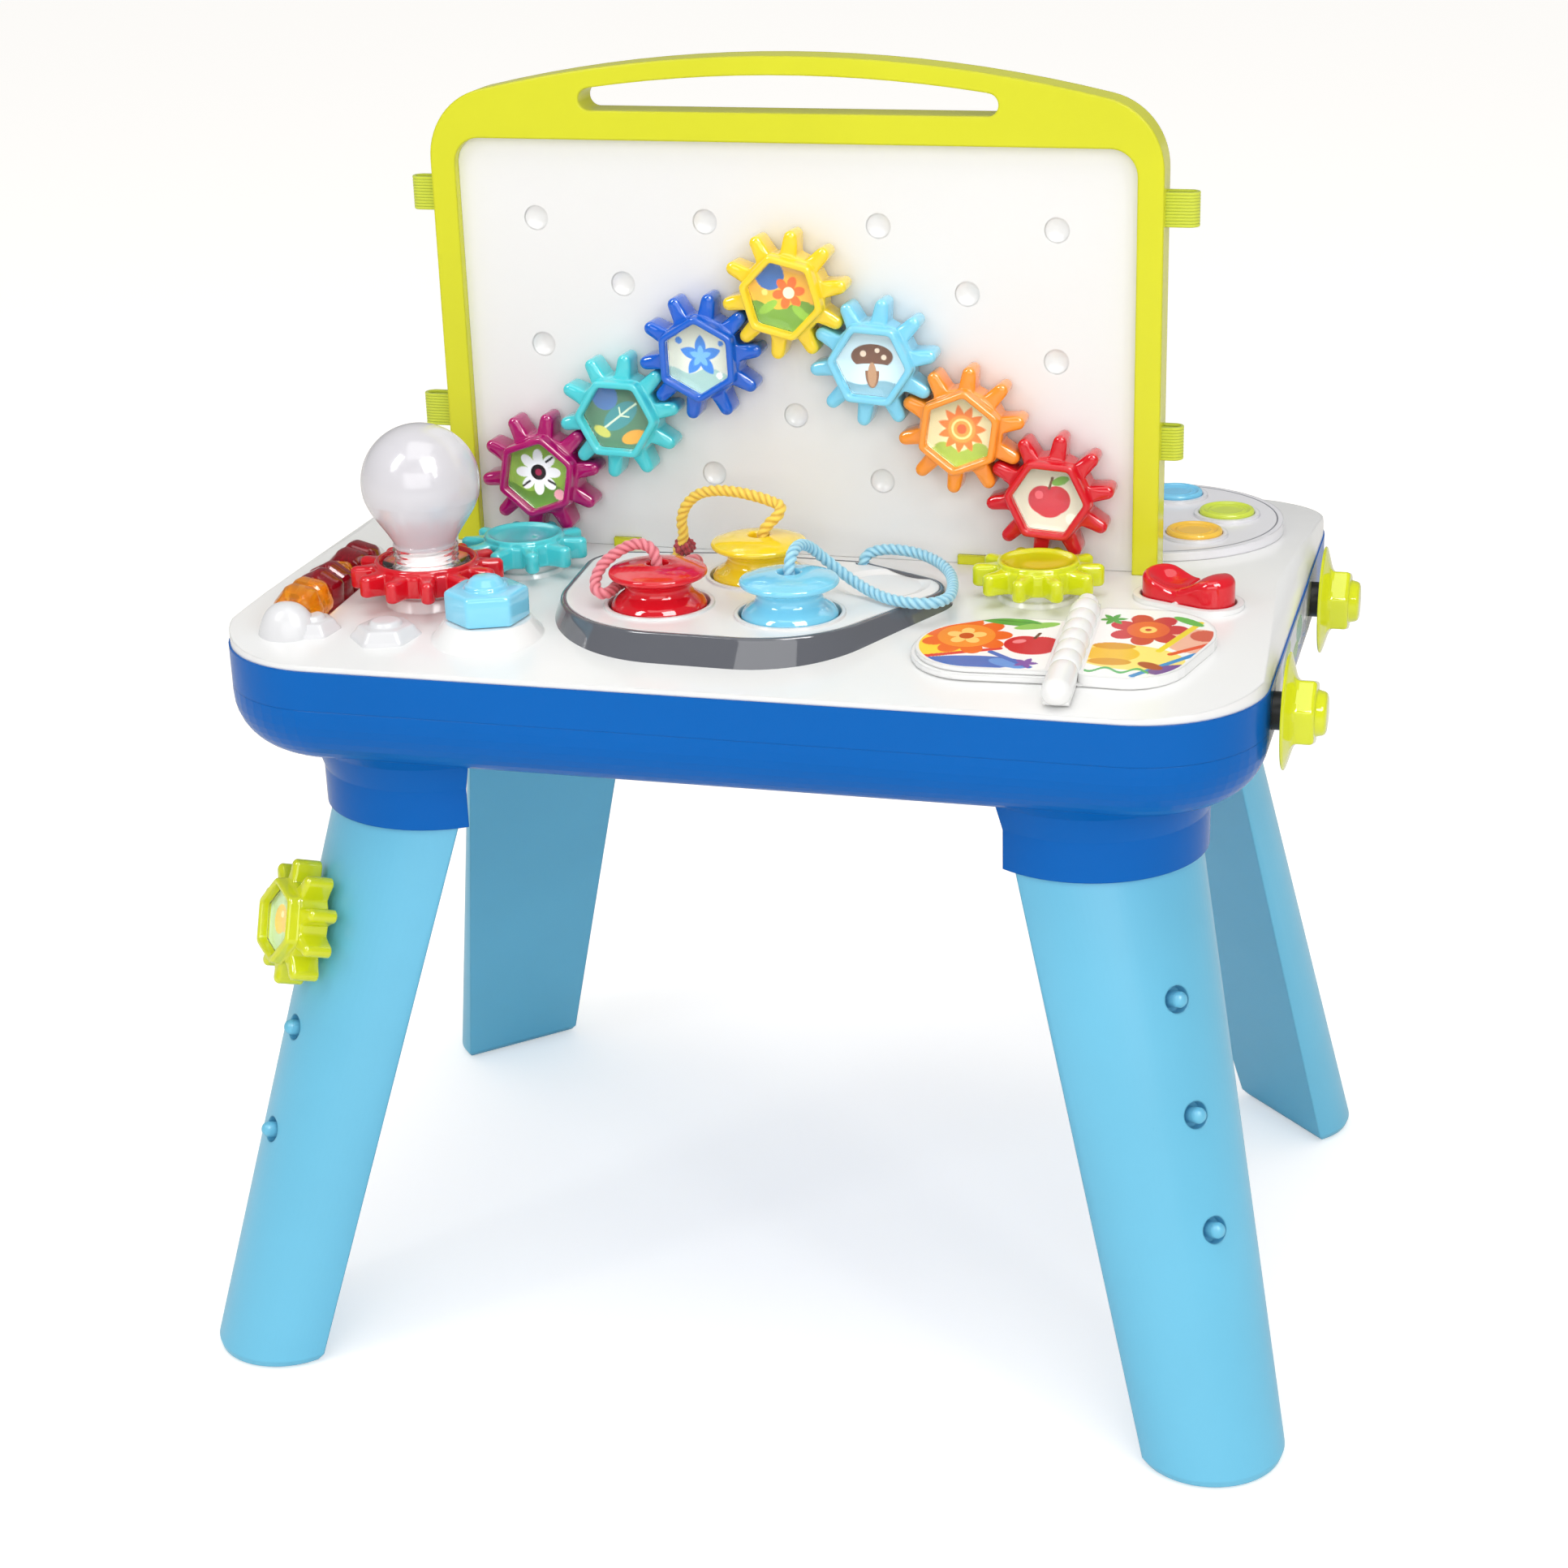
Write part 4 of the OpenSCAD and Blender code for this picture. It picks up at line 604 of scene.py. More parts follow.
def addPegs():
    # a rounded stud in every recess of the legs but the one that carries the gear
    bend = np.linspace(0, math.pi / 2 - 0.03, 10)
    stud = dict(r=3.45, sunk=-5, shoulder=1.6, cap=1.8, rise=3.0)
    rows = np.concatenate([
        [(0.05, stud["sunk"]), (stud["r"], stud["sunk"]), (stud["r"], stud["shoulder"])],
        np.stack([stud["r"] * np.cos(bend), stud["cap"] + stud["rise"] * np.sin(bend)], -1)])
    spots = [(z, sx, sy) for sx in (-1, 1) for sy in (-1, 1) for z in legFrame["pegRows"]]
    for i, spot in enumerate(spots):
        if spot == (legFrame["pegRows"][0], -1, -1):
            continue
        loops = place(turned(rows, 32), *atLegPeg(*spot))
        piece = loopMesh(f"leg_stud_{i}", loops, "table", finish["leg"], 50)


addPegs()

deckGear = dict(gearShape, thick=9.8, boreTop=7.5, easedBack=1.6, z=355.5, turn=10)
lip = [(18.6, 9.85), (18.3, 10.2), (18.15, 10.9), (17.9, 11.5), (17.4, 11.9), (16.8, 12.0)]
dish = lip + [(16.1, 11.85), (15.3, 11.4), (14.2, 10.9), (12.6, 10.6), (6.0, 10.5)]
for side, look in ((-1, "teal"), (1, "lime")):
    loops = place(gearLoops(deckGear, deckGear["turn"], [(r, z, None) for r, z in dish]),
                  [side * table["gearX"], table["deckY"], deckGear["z"]])
    piece = loopMesh(f"deck_gear_{look}_moulded", loops, f"deck_gear_{look}_body", finish[look], 50)
    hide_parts(f"deck_gear_{look}")

# the ring gear meshes with the teal deck gear, a tooth of one in a gap of the other
bulbGear = dict(deckGear, teeth=12, hub=24.0, tip=33.9, bore=10.05, boreTop=5.0)
bulbWay, bulbReach = 237.5, 54.3
bulbAt = (-table["gearX"] + bulbReach * math.cos(math.radians(bulbWay)),
          table["deckY"] + bulbReach * math.sin(math.radians(bulbWay)))
bulbTurn = (bulbWay + 180 + 180 / bulbGear["teeth"]
            - (deckGear["turn"] - bulbWay) * deckGear["teeth"] / bulbGear["teeth"])
print("gears moulded")

bulb = dict(z=364.65, globe=26.2, up=37.5, thread=0.55, pitch=2.6, sleeve=14.0, low=2.3, high=10.6)
redDish = ([(r + bulbGear["hub"] - gearShape["hub"], z) for r, z in lip]
           + [(21.2, 11.8), (20.7, 11.0), (20.4, 9.6), (20.1, 8.8)])


def addRingGear():
    # as the other deck gears, but open in the middle: the last ring meets the first
    loops = gearLoops(bulbGear, bulbTurn, [(r, z, None) for r, z in redDish])
    inner = loops[-1].copy()
    inner[:, :2] *= bulbGear["bore"] / np.linalg.norm(inner[:, :2], axis=1)[:, None]
    loops = place(np.concatenate([loops, inner[None]]), [*bulbAt, bulbGear["z"]])
    piece = torusMesh("bulb_gear_moulded", loops, "bulb_gear_body", finish["red"])
    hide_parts("bulb_gear")


addRingGear()


def addBulb():
    # globe: round top that runs into a waisted neck; collar: a clear sleeve with a helical thread
    b = bulb
    origin = [*bulbAt, b["z"]]
    top = np.linspace(0.02, math.radians(105), 40)
    crown = np.stack([b["globe"] * np.sin(top), b["up"] + b["globe"] * np.cos(top)], -1)
    neck = smoothLine([[25.3, 30.7], [22.9, 25.2], [19.3, 19.6], [16.0, 14.6], [13.9, 10.8], [13.0, 8.2]], 26)
    outer = np.concatenate([[[4.0, 8.2], [11.8, 8.2]], np.concatenate([crown, neck])[::-1]])
    globe = loopMesh("bulb_globe", place(turned(outer), origin), "table", finish["globe"])
    a, z = circleAngles(96)[None], np.linspace(b["low"], b["high"], 60)[:, None]
    wave = np.clip(1.5 * np.sin(2 * np.pi * (z / b["pitch"] - a / (2 * np.pi))), -1, 1)
    fade = np.clip((z - b["low"]) / 1.2, 0, 1) * np.clip((b["high"] - z) / 1.2, 0, 1)
    sleeve = rings(b["sleeve"] + b["thread"] * wave * fade, a, z)
    foot = turned([(12.0, 0.1), (19.2, 0.1), (19.6, 0.4), (19.7, 1.1), (19.5, 1.9), (19.0, 2.15),
                   (14.9, 2.2), (14.2, 2.25)])
    inside = turned([(13.5, 10.9), (12.4, 10.6), (12.0, 9.8), (12.0, 2.0)])
    collar = torusMesh("bulb_collar", place(np.concatenate([foot, sleeve, inside]), origin), "table",
                       finish["clear"])
    plug = turned([(6.0, 0.15), (11.2, 0.15), (11.6, 0.5), (11.6, 8.3), (6.0, 8.35)])
    core = loopMesh("bulb_core", place(plug, origin), "table", finish["white"])
    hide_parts("bulb")


addBulb()
print("bulb done")

rail = dict(x=-196.6, z=352.0, bore=3.15)
beads = {  # front end, rear end, radius, turn, finish
    "bead_orange": (-128.0, -104.3, 10.95, 10, "amber"),
    "bead_burgundy_front": (-104.0, -80.3, 10.95, 34, "burgundy"),
    "bead_small": (-80.0, -72.8, 7.95, 0, "amber"),
    "bead_burgundy_rear": (-72.5, -46.0, 10.95, 15, "burgundy")}


def addBead(name, y0, y1, r, turn, look):
    # a many-sided nut with two raised bands and a groove: radius by station, facets by angle
    a = circleAngles(96)
    bands = [(0.0, 0.72), (0.02, 0.84), (0.10, 0.93), (0.2, 1), (0.36, 1), (0.43, 0.96), (0.47, 0.87),
             (0.53, 0.87), (0.57, 0.96), (0.64, 1), (0.8, 1), (0.9, 0.93), (0.98, 0.84), (1.0, 0.72)]
    sides = [rings(np.minimum(sixSided(a, r * k * 1.06, turn, 70), r * k), a, y0 + (y1 - y0) * t)
             for t, k in bands]
    mouth = rail["bore"] + 0.15
    inside = [(mouth, y1), (rail["bore"], y1 - 0.05), (rail["bore"] - 0.05, (y0 + y1) / 2),
              (rail["bore"], y0 + 0.05)]
    loops = np.concatenate([turned([(mouth, y0)]), sides, turned(inside)])
    loops = place(loops, [rail["x"], 0, rail["z"]], (1, 0, 0), (0, 0, -1), (0, 1, 0))
    piece = torusMesh(name + "_faceted", loops, name + "_body", finish[look], 30)
    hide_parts(name)


for name, values in beads.items():
    addBead(name, *values)


print("beads done")

spool = dict(red=(-36.5, -99), yellow=(-5, -50), blue=(23.2, -102))


def addSpool(colour, x, y, look):
    # foot with a round edge, hollow flank, waist, domed disc, hole for the rope, guide stem
    t = table["trayZ"]
    edge = np.linspace(-math.pi / 2, math.pi / 2, 14)
    disc = np.stack([20.3 + 1.2 * np.cos(edge), t + 14.75 + 1.35 * np.sin(edge)], -1)
    flank = smoothLine([[20.9, t + 0.8], [19.6, t + 2.7], [17.3, t + 4.6], [15.2, t + 6.4], [14.5, t + 8.4],
                        [15.0, t + 10.2], [16.8, t + 11.9], [19.6, t + 13.2]], 34)
    dome = smoothLine([[19.9, t + 16.25], [17.0, t + 17.3], [13.0, t + 18.2], [9.0, t + 18.7],
                       [5.9, t + 18.9]], 18)
    stem = [[0.02, 301], [7.4, 301], [7.95, 301.4], [7.95, 302.4], [7.6, 302.75], [5.95, 302.75],
            [5.95, 349.9], [6.6, 350.05], [19.8, 350.05], [20.6, 350.3], [20.95, 351], [20.95, t + 0.1]]
    hole = [[5.2, t + 18.8], [4.8, t + 18.3], [4.72, t + 17.6], [4.72, t + 15.2], [4.4, t + 15],
            [0.02, t + 15]]
    loops = place(turned(np.concatenate([stem, flank, disc, dome, hole])), [x, y, 0])
    piece = loopMesh(f"spool_{colour}_turned", loops, f"spool_{colour}_body", finish[look], 50)
    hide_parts("spool_" + colour)


for colour, look in (("red", "red"), ("yellow", "yellow"), ("blue", "sky")):
    addSpool(colour, *spool[colour], look)
print("spools done")

def hexLoops(rows, turn, power=34):
    # rows of height, size and how six-sided the ring is, from 0 for round to 1
    a = circleAngles(144)
    return np.array([rings(r * (1 - h) + sixSided(a, r, turn, power) * h, a, z) for z, r, h in rows])


deckKnob = [(10.5, 0.05, 0), (10.5, 4.05, 0), (0.4, 4.05, 0), (0, 4.5, 0), (0, 17.3, 1), (0.25, 18.2, 1),
            (0.9, 18.6, 1), (11.6, 18.6, 1), (12.6, 18.2, 1), (13.2, 17.4, 1), (13.5, 16.2, 1),
            (13.5, 10.4, 0), (13.6, 9.8, 0), (14.0, 9.5, 0), (14.9, 9.4, 0), (15.4, 8.9, 0), (15.5, 8.3, 0),
            (15.7, 7.9, 0), (17.6, 6.7, 0), (18.5, 5.4, 0), (18.9, 3.6, 0), (19.0, 0.05, 0)]
sideKnob = [(10.3, 0.05, 0), (10.3, 4.05, 0), (0.5, 4.05, 0), (0.05, 4.6, 0), (0.05, 12.5, 0), (0.25, 20, 0),
            (0.05, 23.4, 0), (0.1, 24.5, 0), (0.5, 24.8, 0), (1.0, 24.5, 0), (1.5, 23.0, 0), (2.3, 20.4, 0),
            (3.1, 18.0, 0.2), (3.9, 16.3, 0.6), (4.9, 15.5, 1), (6.0, 15.3, 1), (11.2, 15.3, 1),
            (12.1, 15.0, 1), (12.7, 14.3, 1), (12.9, 13.2, 1), (12.9, 10.6, 0), (13.0, 10.1, 0),
            (13.4, 9.8, 0), (15.9, 9.2, 0), (16.8, 8.6, 0), (17.3, 7.4, 0), (17.5, 5.4, 0), (17.5, 0.05, 0)]
knobs = dict(deckAt=[-107.5, -121.5, 353.0], deckTurn=22.8, wallX=235.4, wallTurn=12,
             wallY=dict(front=-99.0, rear=56.0))
piece = loopMesh("hex_knob_moulded", place(hexLoops(deckKnob, knobs["deckTurn"]), knobs["deckAt"]),
                 "hex_knob_body", finish["sky"], 45)
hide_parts("hex_knob")
for name, y in knobs["wallY"].items():
    loops = place(hexLoops(sideKnob, knobs["wallTurn"]), [knobs["wallX"], y, table["sideZ"]],
                  (0, 0, -1), (0, 1, 0), (1, 0, 0))
    piece = loopMesh(f"side_knob_{name}_moulded", loops, f"side_knob_{name}_body", finish["lime"], 45)
    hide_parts("side_knob_" + name)

mounds = dict(domeR=13.6, domeDeep=11.5, domeY=-133.5, domeCut=-128.6, domeZ=341, domeHigh=17.4,
              nuts=[(-152, -130, 1.0), (-187, -129, 0.8)], nutTurn=15, nutSunk=0.3)


def addMounds():
    # soft white mouldings: the dome before the rail and two nuts standing on the deck, in a darker copy of
    # the deck's white as painted shade
    a = circleAngles(96)[None]
    up = np.linspace(0, math.pi / 2 - 0.04, 22)[:, None]
    k = np.cos(up) ** 0.8
    m = mounds
    dome = rings(m["domeR"] * k, a, m["domeZ"] + m["domeHigh"] * np.sin(up) ** 1.1)
    dome[..., 0] += rail["x"]
    dome[..., 1] = np.minimum(m["domeY"] + m["domeDeep"] * k * np.sin(a), m["domeCut"])
    pieces = [loopMesh("rail_dome", dome, "table", finish["shadedMound"], 50)]
    rows = [(-4, 16.6, 1), (0.2, 16.3, 1), (1.4, 15.4, 1), (3.2, 13.6, 1), (4.3, 12.9, 1), (4.9, 12.2, 1),
            (5.1, 11.2, 1), (5.15, 8.0, 0), (5.5, 7.2, 0), (6.6, 6.7, 0), (7.1, 6.0, 0), (7.25, 4.8, 0),
            (7.3, 0.05, 0)]
    for i, (x, y, size) in enumerate(m["nuts"]):
        loops = hexLoops([(z, r * size, h) for z, r, h in rows], m["nutTurn"], power=22)
        loops = loops + np.array([x, y, float(deckAt(y)) - m["nutSunk"]])
        pieces.append(loopMesh(f"deck_nut_{i}", loops, "table", finish["shadedMound"], 50))


addMounds()
print("knobs and mounds done")

webbing = dict(width=15.0, thick=1.5, bend=4.6, y=5.0, ribs=11, frameX=167.3,
               loops=[(-1, 506, 13), (-1, 405, 15), (1, 506, 14), (1, 403, 9)])  # side, height, reach


def addLoop(index, side, z, reach):
    # a flat tape led out of the frame, round and back; its two faces carry ribs along the length
    w = webbing
    inset = w["thick"] / 2
    r = w["bend"] - inset
    turnAngle = np.linspace(-math.pi / 2, math.pi / 2, 26)
    straight = np.linspace(-0.3, reach - w["bend"], 10)[:-1]
    out = np.stack([straight, -r + 0 * straight], -1)
    bend = np.stack([reach - w["bend"] + r * np.cos(turnAngle), r * np.sin(turnAngle)], -1)
    line = np.concatenate([out, bend, (out * [1, -1])[::-1]])
    t = np.gradient(line, axis=0)
    t /= np.linalg.norm(t, axis=1)[:, None]
    normal = np.stack([t[:, 1], -t[:, 0]], -1)
    v = np.linspace(0, 1, w["ribs"] * 8 + 1)
    rib = 0.52 + 0.23 * np.abs(np.sin(math.pi * w["ribs"] * v)) ** 0.6
    section = np.concatenate([np.stack([rib, v], -1), np.stack([-rib, v], -1)[::-1]])
    flat = line[:, None] + normal[:, None] * section[None, :, :1]
    loops = np.stack([side * (w["frameX"] + flat[..., 0]), w["y"] + flat[..., 1],
                      z + section[None, :, 1] * w["width"] + 0 * flat[..., 0]], -1)
    piece = loopMesh(f"webbing_loop_{index}", loops, "table", finish["webbing"], 60)
    length = np.concatenate([[0], np.cumsum(np.linalg.norm(np.diff(line, axis=0), axis=1))])
    # the rib height sets the painted shade: darker between the ribs, lighter on their tops
    setYarnAndShade(piece, length[:, None], section[:, 1] * w["width"], (np.abs(section[:, 0]) - 0.5) / 0.25)
    return piece


tapes = [addLoop(i, *values) for i, values in enumerate(webbing["loops"])]
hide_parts("tape_loops")
print("webbing done")

# each picture is a list of flat shapes painted one over another on a fine grid of points


def shapeMask(kind, x, y, args, soft=0.16):
    # signed distance of a simple shape, turned into a soft-edged mask
    if kind == "fill":
        return np.ones_like(x)
    if kind == "disc":
        cx, cy, r = args
        d = r - np.hypot(x - cx, y - cy)
    elif kind == "oval":
        cx, cy, rx, ry, turn = args
        c, s = math.cos(math.radians(turn)), math.sin(math.radians(turn))
        u, v = (x - cx) * c + (y - cy) * s, (y - cy) * c - (x - cx) * s
        d = (1 - np.hypot(u / rx, v / ry)) * min(rx, ry)
    elif kind == "ring":
        cx, cy, r, w = args
        d = w / 2 - np.abs(np.hypot(x - cx, y - cy) - r)
    elif kind == "petals":
        cx, cy, count, r0, r1, turn = args
        a = np.arctan2(y - cy, x - cx) - math.radians(turn)
        d = (r0 + (r1 - r0) * np.abs(np.cos(count * a / 2)) ** 0.7 - np.hypot(x - cx, y - cy)) * 0.8
    elif kind == "star":
        cx, cy, count, r0, r1, turn = args
        a = (np.arctan2(y - cy, x - cx) - math.radians(turn)) * count / (2 * math.pi)
        d = (r0 + (r1 - r0) * np.abs(2 * (a - np.floor(a)) - 1) - np.hypot(x - cx, y - cy)) * 0.6
    elif kind == "bar":
        ax, ay, bx, by, w = args
        dx, dy = bx - ax, by - ay
        t = np.clip(((x - ax) * dx + (y - ay) * dy) / (dx * dx + dy * dy), 0, 1)
        d = w / 2 - np.hypot(x - ax - t * dx, y - ay - t * dy)
    elif kind == "hills":
        level, height, length, shift = args
        d = (level + height * np.sin(2 * math.pi * (x - shift) / length) - y) * 0.8
    elif kind == "squiggle":
        x0, x1, level, height, length, w = args
        d = np.minimum(w / 2 - np.abs(y - level - height * np.sin(2 * math.pi * x / length)) * 0.6,
                       np.minimum(x - x0, x1 - x))
    return np.clip(d / soft + 0.5, 0, 1)


def paint(x, y, picture):
    ink = np.ones(x.shape + (3,))
    for kind, code, *args in picture:
        mask = shapeMask(kind, x, y, args)[..., None]
        ink = ink * (1 - mask) + np.array(tint(code)) * mask
    return ink


def sheetMesh(name, outline, origin, axes, thick, picture, body, material, rows=52, centre=None):
    # a thin printed plate: rings shrink from the outline to its middle, front and back
    middle = outline.mean(0) if centre is None else np.asarray(centre, float)
    spans = [(0.3, 0), (1, 0)] + [(k, thick) for k in np.linspace(1, 0.012, rows)]
    loops = np.array([atHeight(middle + (outline - middle) * k, z) for k, z in spans])
    piece = loopMesh(name, place(loops, origin, *axes), body, material, 50)
    setInk(piece, paint(loops[..., 0], loops[..., 1], picture))
    return piece


gearPictures = {
    "yellow": [
        ("fill", "#F7B733"), ("hills", "#6E9A2E", -4, 2, 22, 3), ("disc", "#3C6FB8", -6, 9, 6.5),
        ("petals", "#F26B21", 2.5, 1.5, 6, 3, 7.5, 10), ("disc", "#FFF3C4", 2.5, 1.5, 2.6),
        ("oval", "#8DBB3A", -7, -5, 5, 2, 35), ("oval", "#8DBB3A", 8, -7.5, 5, 2, -40),
        ("disc", "#FFE27A", -8.5, 1.5, 1.4)],
    "dark_blue": [
        ("fill", "#D9DCCB"), ("hills", "#9FC0B8", -6, 1.5, 18, 0),
        ("star", "#2F7FD6", 0.5, 0.5, 5, 4.2, 9.8, 18), ("star", "#6FB1EC", 0.5, 0.5, 5, 2.2, 5.2, 18),
        ("disc", "#2F7FD6", -9.5, 7.5, 1.6), ("disc", "#2F7FD6", 10, 6.5, 1.2),
        ("disc", "#F4F6EE", 9, -8, 1.5)],
    "light_blue": [
        ("fill", "#CFE7EF"), ("hills", "#7FA9B8", -8.5, 1, 20, 0), ("oval", "#8A5A3C", 0, -4, 3.2, 7, 0),
        ("oval", "#6B4029", 0, 3.2, 9.5, 5.6, 0), ("oval", "#CFE7EF", 0, -1.6, 9.5, 1.6, 0),
        ("disc", "#E9D3BC", -4, 4.4, 1.4), ("disc", "#E9D3BC", 2.4, 6, 1.1),
        ("disc", "#E9D3BC", 5.4, 3, 1.2), ("oval", "#B78A66", 0, -5, 2, 5.6, 0)],
    "teal": [
        ("fill", "#4E7D5F"), ("disc", "#4A79B8", -6, 9, 6), ("oval", "#3B8E93", 1, 0.5, 9.5, 5, 38),
        ("bar", "#D7E6C9", -6.5, -5, 8.5, 6.5, 0.9), ("bar", "#D7E6C9", 1, 0.6, 0.5, 4.4, 0.7),
        ("bar", "#D7E6C9", 1, 0.6, 5, 0.2, 0.7), ("oval", "#E9A43A", 7, -9, 6, 3, 20),
        ("oval", "#C4C15A", -8, -7, 4.2, 2.2, -30)],
    "orange": [
        ("fill", "#E9D9A6"), ("hills", "#9FB53E", -7, 2, 16, 4), ("star", "#F07A22", 0.5, 1, 11, 7, 11, 0),
        ("disc", "#F59A3A", 0.5, 1, 6.2), ("ring", "#FFD88A", 0.5, 1, 4.2, 1.0),
        ("disc", "#E25C1C", 0.5, 1, 2.2)],
    "magenta": [
        ("fill", "#8FB347"), ("hills", "#5E8A34", -6, 2, 20, 0),
        ("petals", "#F6F4F8", -0.5, 1.2, 8, 5.4, 10.8, 0), ("disc", "#17151A", -0.5, 1.2, 3.7),
        ("disc", "#A3294F", -0.5, 1.2, 1.6), ("bar", "#17151A", 3.5, 6.2, 6.6, 8.4, 1.1),
        ("bar", "#17151A", -5, -3.2, -8.2, -5.6, 1.1), ("bar", "#17151A", 4.3, -2.6, 7.4, -4.4, 1.1),
        ("disc", "#F0A7B4", 9, -9, 2.4)],
    "red": [
        ("fill", "#D9D3BE"), ("disc", "#C62536", -3.1, -0.6, 6.4), ("disc", "#C62536", 3.1, -0.6, 6.4),
        ("oval", "#C62536", 0, -3.4, 6.6, 5.4, 0), ("disc", "#E4606A", -4.6, 1.6, 1.9),
        ("bar", "#6B4029", 0, 4.6, 1.4, 9.4, 1.2), ("oval", "#6FA63A", 5, 8.2, 4, 1.9, 20),
        ("disc", "#F1ECD9", 10, -9, 2.6)],
    "leg": [
        ("fill", "#BFD9A0"), ("oval", "#F7C52E", 0, -2.5, 6.8, 6.2, 0),
        ("oval", "#F7C52E", 0, 3, 4.2, 6, 0), ("bar", "#6B4029", 0, 8, 1, 11, 1.0),
        ("oval", "#5E8A34", 4.4, 9.2, 3.6, 1.6, 15), ("disc", "#FFE9A0", -2.6, -1.5, 1.6)],
}


window = dict(size=16.25, corner=40, seat=0.05, card=0.35, lensUp=0.45)


def addWindow(name, key, hexTurn, frameAxes, body):
    # the printed card on the gear's floor and the clear lens that snaps over it
    a = circleAngles(132)
    r = sixSided(a, window["size"], hexTurn, window["corner"])
    outline = np.stack([r * np.cos(a), r * np.sin(a)], -1)
    origin, x, y, w = frameAxes
    o = np.asarray(origin, float) + np.asarray(w, float) * (gearShape["card"] + window["seat"])
    card = sheetMesh(name + "_card", outline, o, (x, y, w), window["card"], gearPictures[key], body,
                     finish["card"])
    rows = [(0.0, 0.05), (0.0, 0.97), (0.08, 0.995), (0.25, 1.0), (2.9, 1.0), (3.2, 0.985), (3.4, 0.95),
            (3.5, 0.7), (3.55, 0.05)]
    loops = np.array([rings(r * k, a, window["lensUp"] + z) for z, k in rows])
    lens = loopMesh(name + "_lens", place(loops, o, x, y, w), body, finish["clear"], 30)
    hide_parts(name)


for name, (column, row, toothTurn, bezelTurn, look) in boardGears.items():
    addWindow("window_" + name, name, bezelTurn, atBoard(column, row), f"gear_{name}_body")
addWindow("window_leg", "leg", legGearTurn["bezel"], legGearFrame, "leg_gear_body")
print("picture windows done")


book = dict(place=(147.5, -107.0), turn=2.2, pageTop=4.92, leafTop=5.02, margin=1.5, pageEnd=-8.2,
            leafEnd=7.8, sleeve=5.6, page=[(-41, -5.5, 25), (-30, 1, 24.5), (-7, -26, 4), (-7, 21, 4)],
            leaf=[(32, 15, 26), (24, -8, 26), (9.5, -29, 4), (9.5, 37, 4)])
# toys, fruit and leaves on white, for the page and for the leaf under it
bookLeft = [
    ("fill", "#FAFAF7"), ("disc", "#FFD93A", -60, -4, 17), ("oval", "#2F6FC4", -42, -25, 24, 7, 6),
    ("oval", "#5B9BE0", -24, -24, 9, 4, -20), ("bar", "#E03A3A", -64, -22, -30, -9, 2.8),
    ("bar", "#2F6FC4", -33, -13, -15, -27, 2.8), ("petals", "#EF6A24", -46, 3, 9, 13.5, 19.5, 8),
    ("disc", "#F59232", -46, 3, 12.2), ("petals", "#FBD27A", -46, 3, 5, 3.4, 8.6, 20),
    ("disc", "#C8501A", -46, 3, 3.2), ("oval", "#4FA845", -30, 21, 15, 4.4, -10),
    ("oval", "#8CC95A", -18, 17, 10, 3.2, 22), ("bar", "#3B8E3A", -43, 22.5, -17, 19.5, 0.9),
    ("disc", "#CF2430", -20.5, -3, 8.6), ("disc", "#CF2430", -13.5, -3, 8.6),
    ("oval", "#CF2430", -17, -7, 10, 7, 0), ("oval", "#F08A8F", -23, -0.4, 3, 1.9, 30),
    ("bar", "#5E3B22", -17, 3.4, -15.6, 9.2, 1.5), ("star", "#7A55A8", -17, -23, 5, 2.4, 5.4, 0)]
bookRight = [
    ("fill", "#FAFAF7"), ("oval", "#FFE680", 24, -12, 24, 13, -8), ("disc", "#F6BBA0", 50, 8, 13),
    ("petals", "#CF3440", 29, 18, 7, 10.5, 17, 6), ("disc", "#E8603E", 29, 18, 9),
    ("disc", "#FFD27A", 29, 18, 3.6), ("disc", "#CF3440", 29, 18, 1.4),
    ("oval", "#F3C232", 17, -9, 11.5, 8.4, 0), ("oval", "#DFA021", 17, -0.8, 9, 3.6, 0),
    ("oval", "#DFA021", 17, -17.4, 9, 3.6, 0), ("bar", "#E8562E", 41, -7, 59, 8, 2.8),
    ("disc", "#D9634A", 53, 14, 6), ("bar", "#3E90D0", 28, -31, 51, -6, 2.8),
    ("bar", "#3E90D0", 51, -6, 51, -15, 2.4), ("oval", "#7A4E9C", 44, -23, 11, 5, 20),
    ("oval", "#B04A3A", 34, -20, 6, 3, -30), ("squiggle", "#58B86A", 6, 34, -26, 2.2, 13, 1.3),
    ("bar", "#F3D93A", 36, -4, 50, 28, 3), ("star", "#4FA845", 13, 28, 6, 2.6, 6.4, 10),
    ("oval", "#6DBB4F", 45, 29, 8, 2.6, -35)]


def hullOutline(circles, grow, n):
    # the outline round a set of circles: in each direction the circle that reaches furthest
    a = circleAngles(n)
    u = np.stack([np.cos(a), np.sin(a)], -1)
    c = np.array(circles, float)
    reach = u @ c[:, :2].T + c[:, 2] + grow
    best = reach.argmax(1)
    line = c[best, :2] + u * (c[best, 2] + grow)[:, None]
    return closedEvenly(line, n)


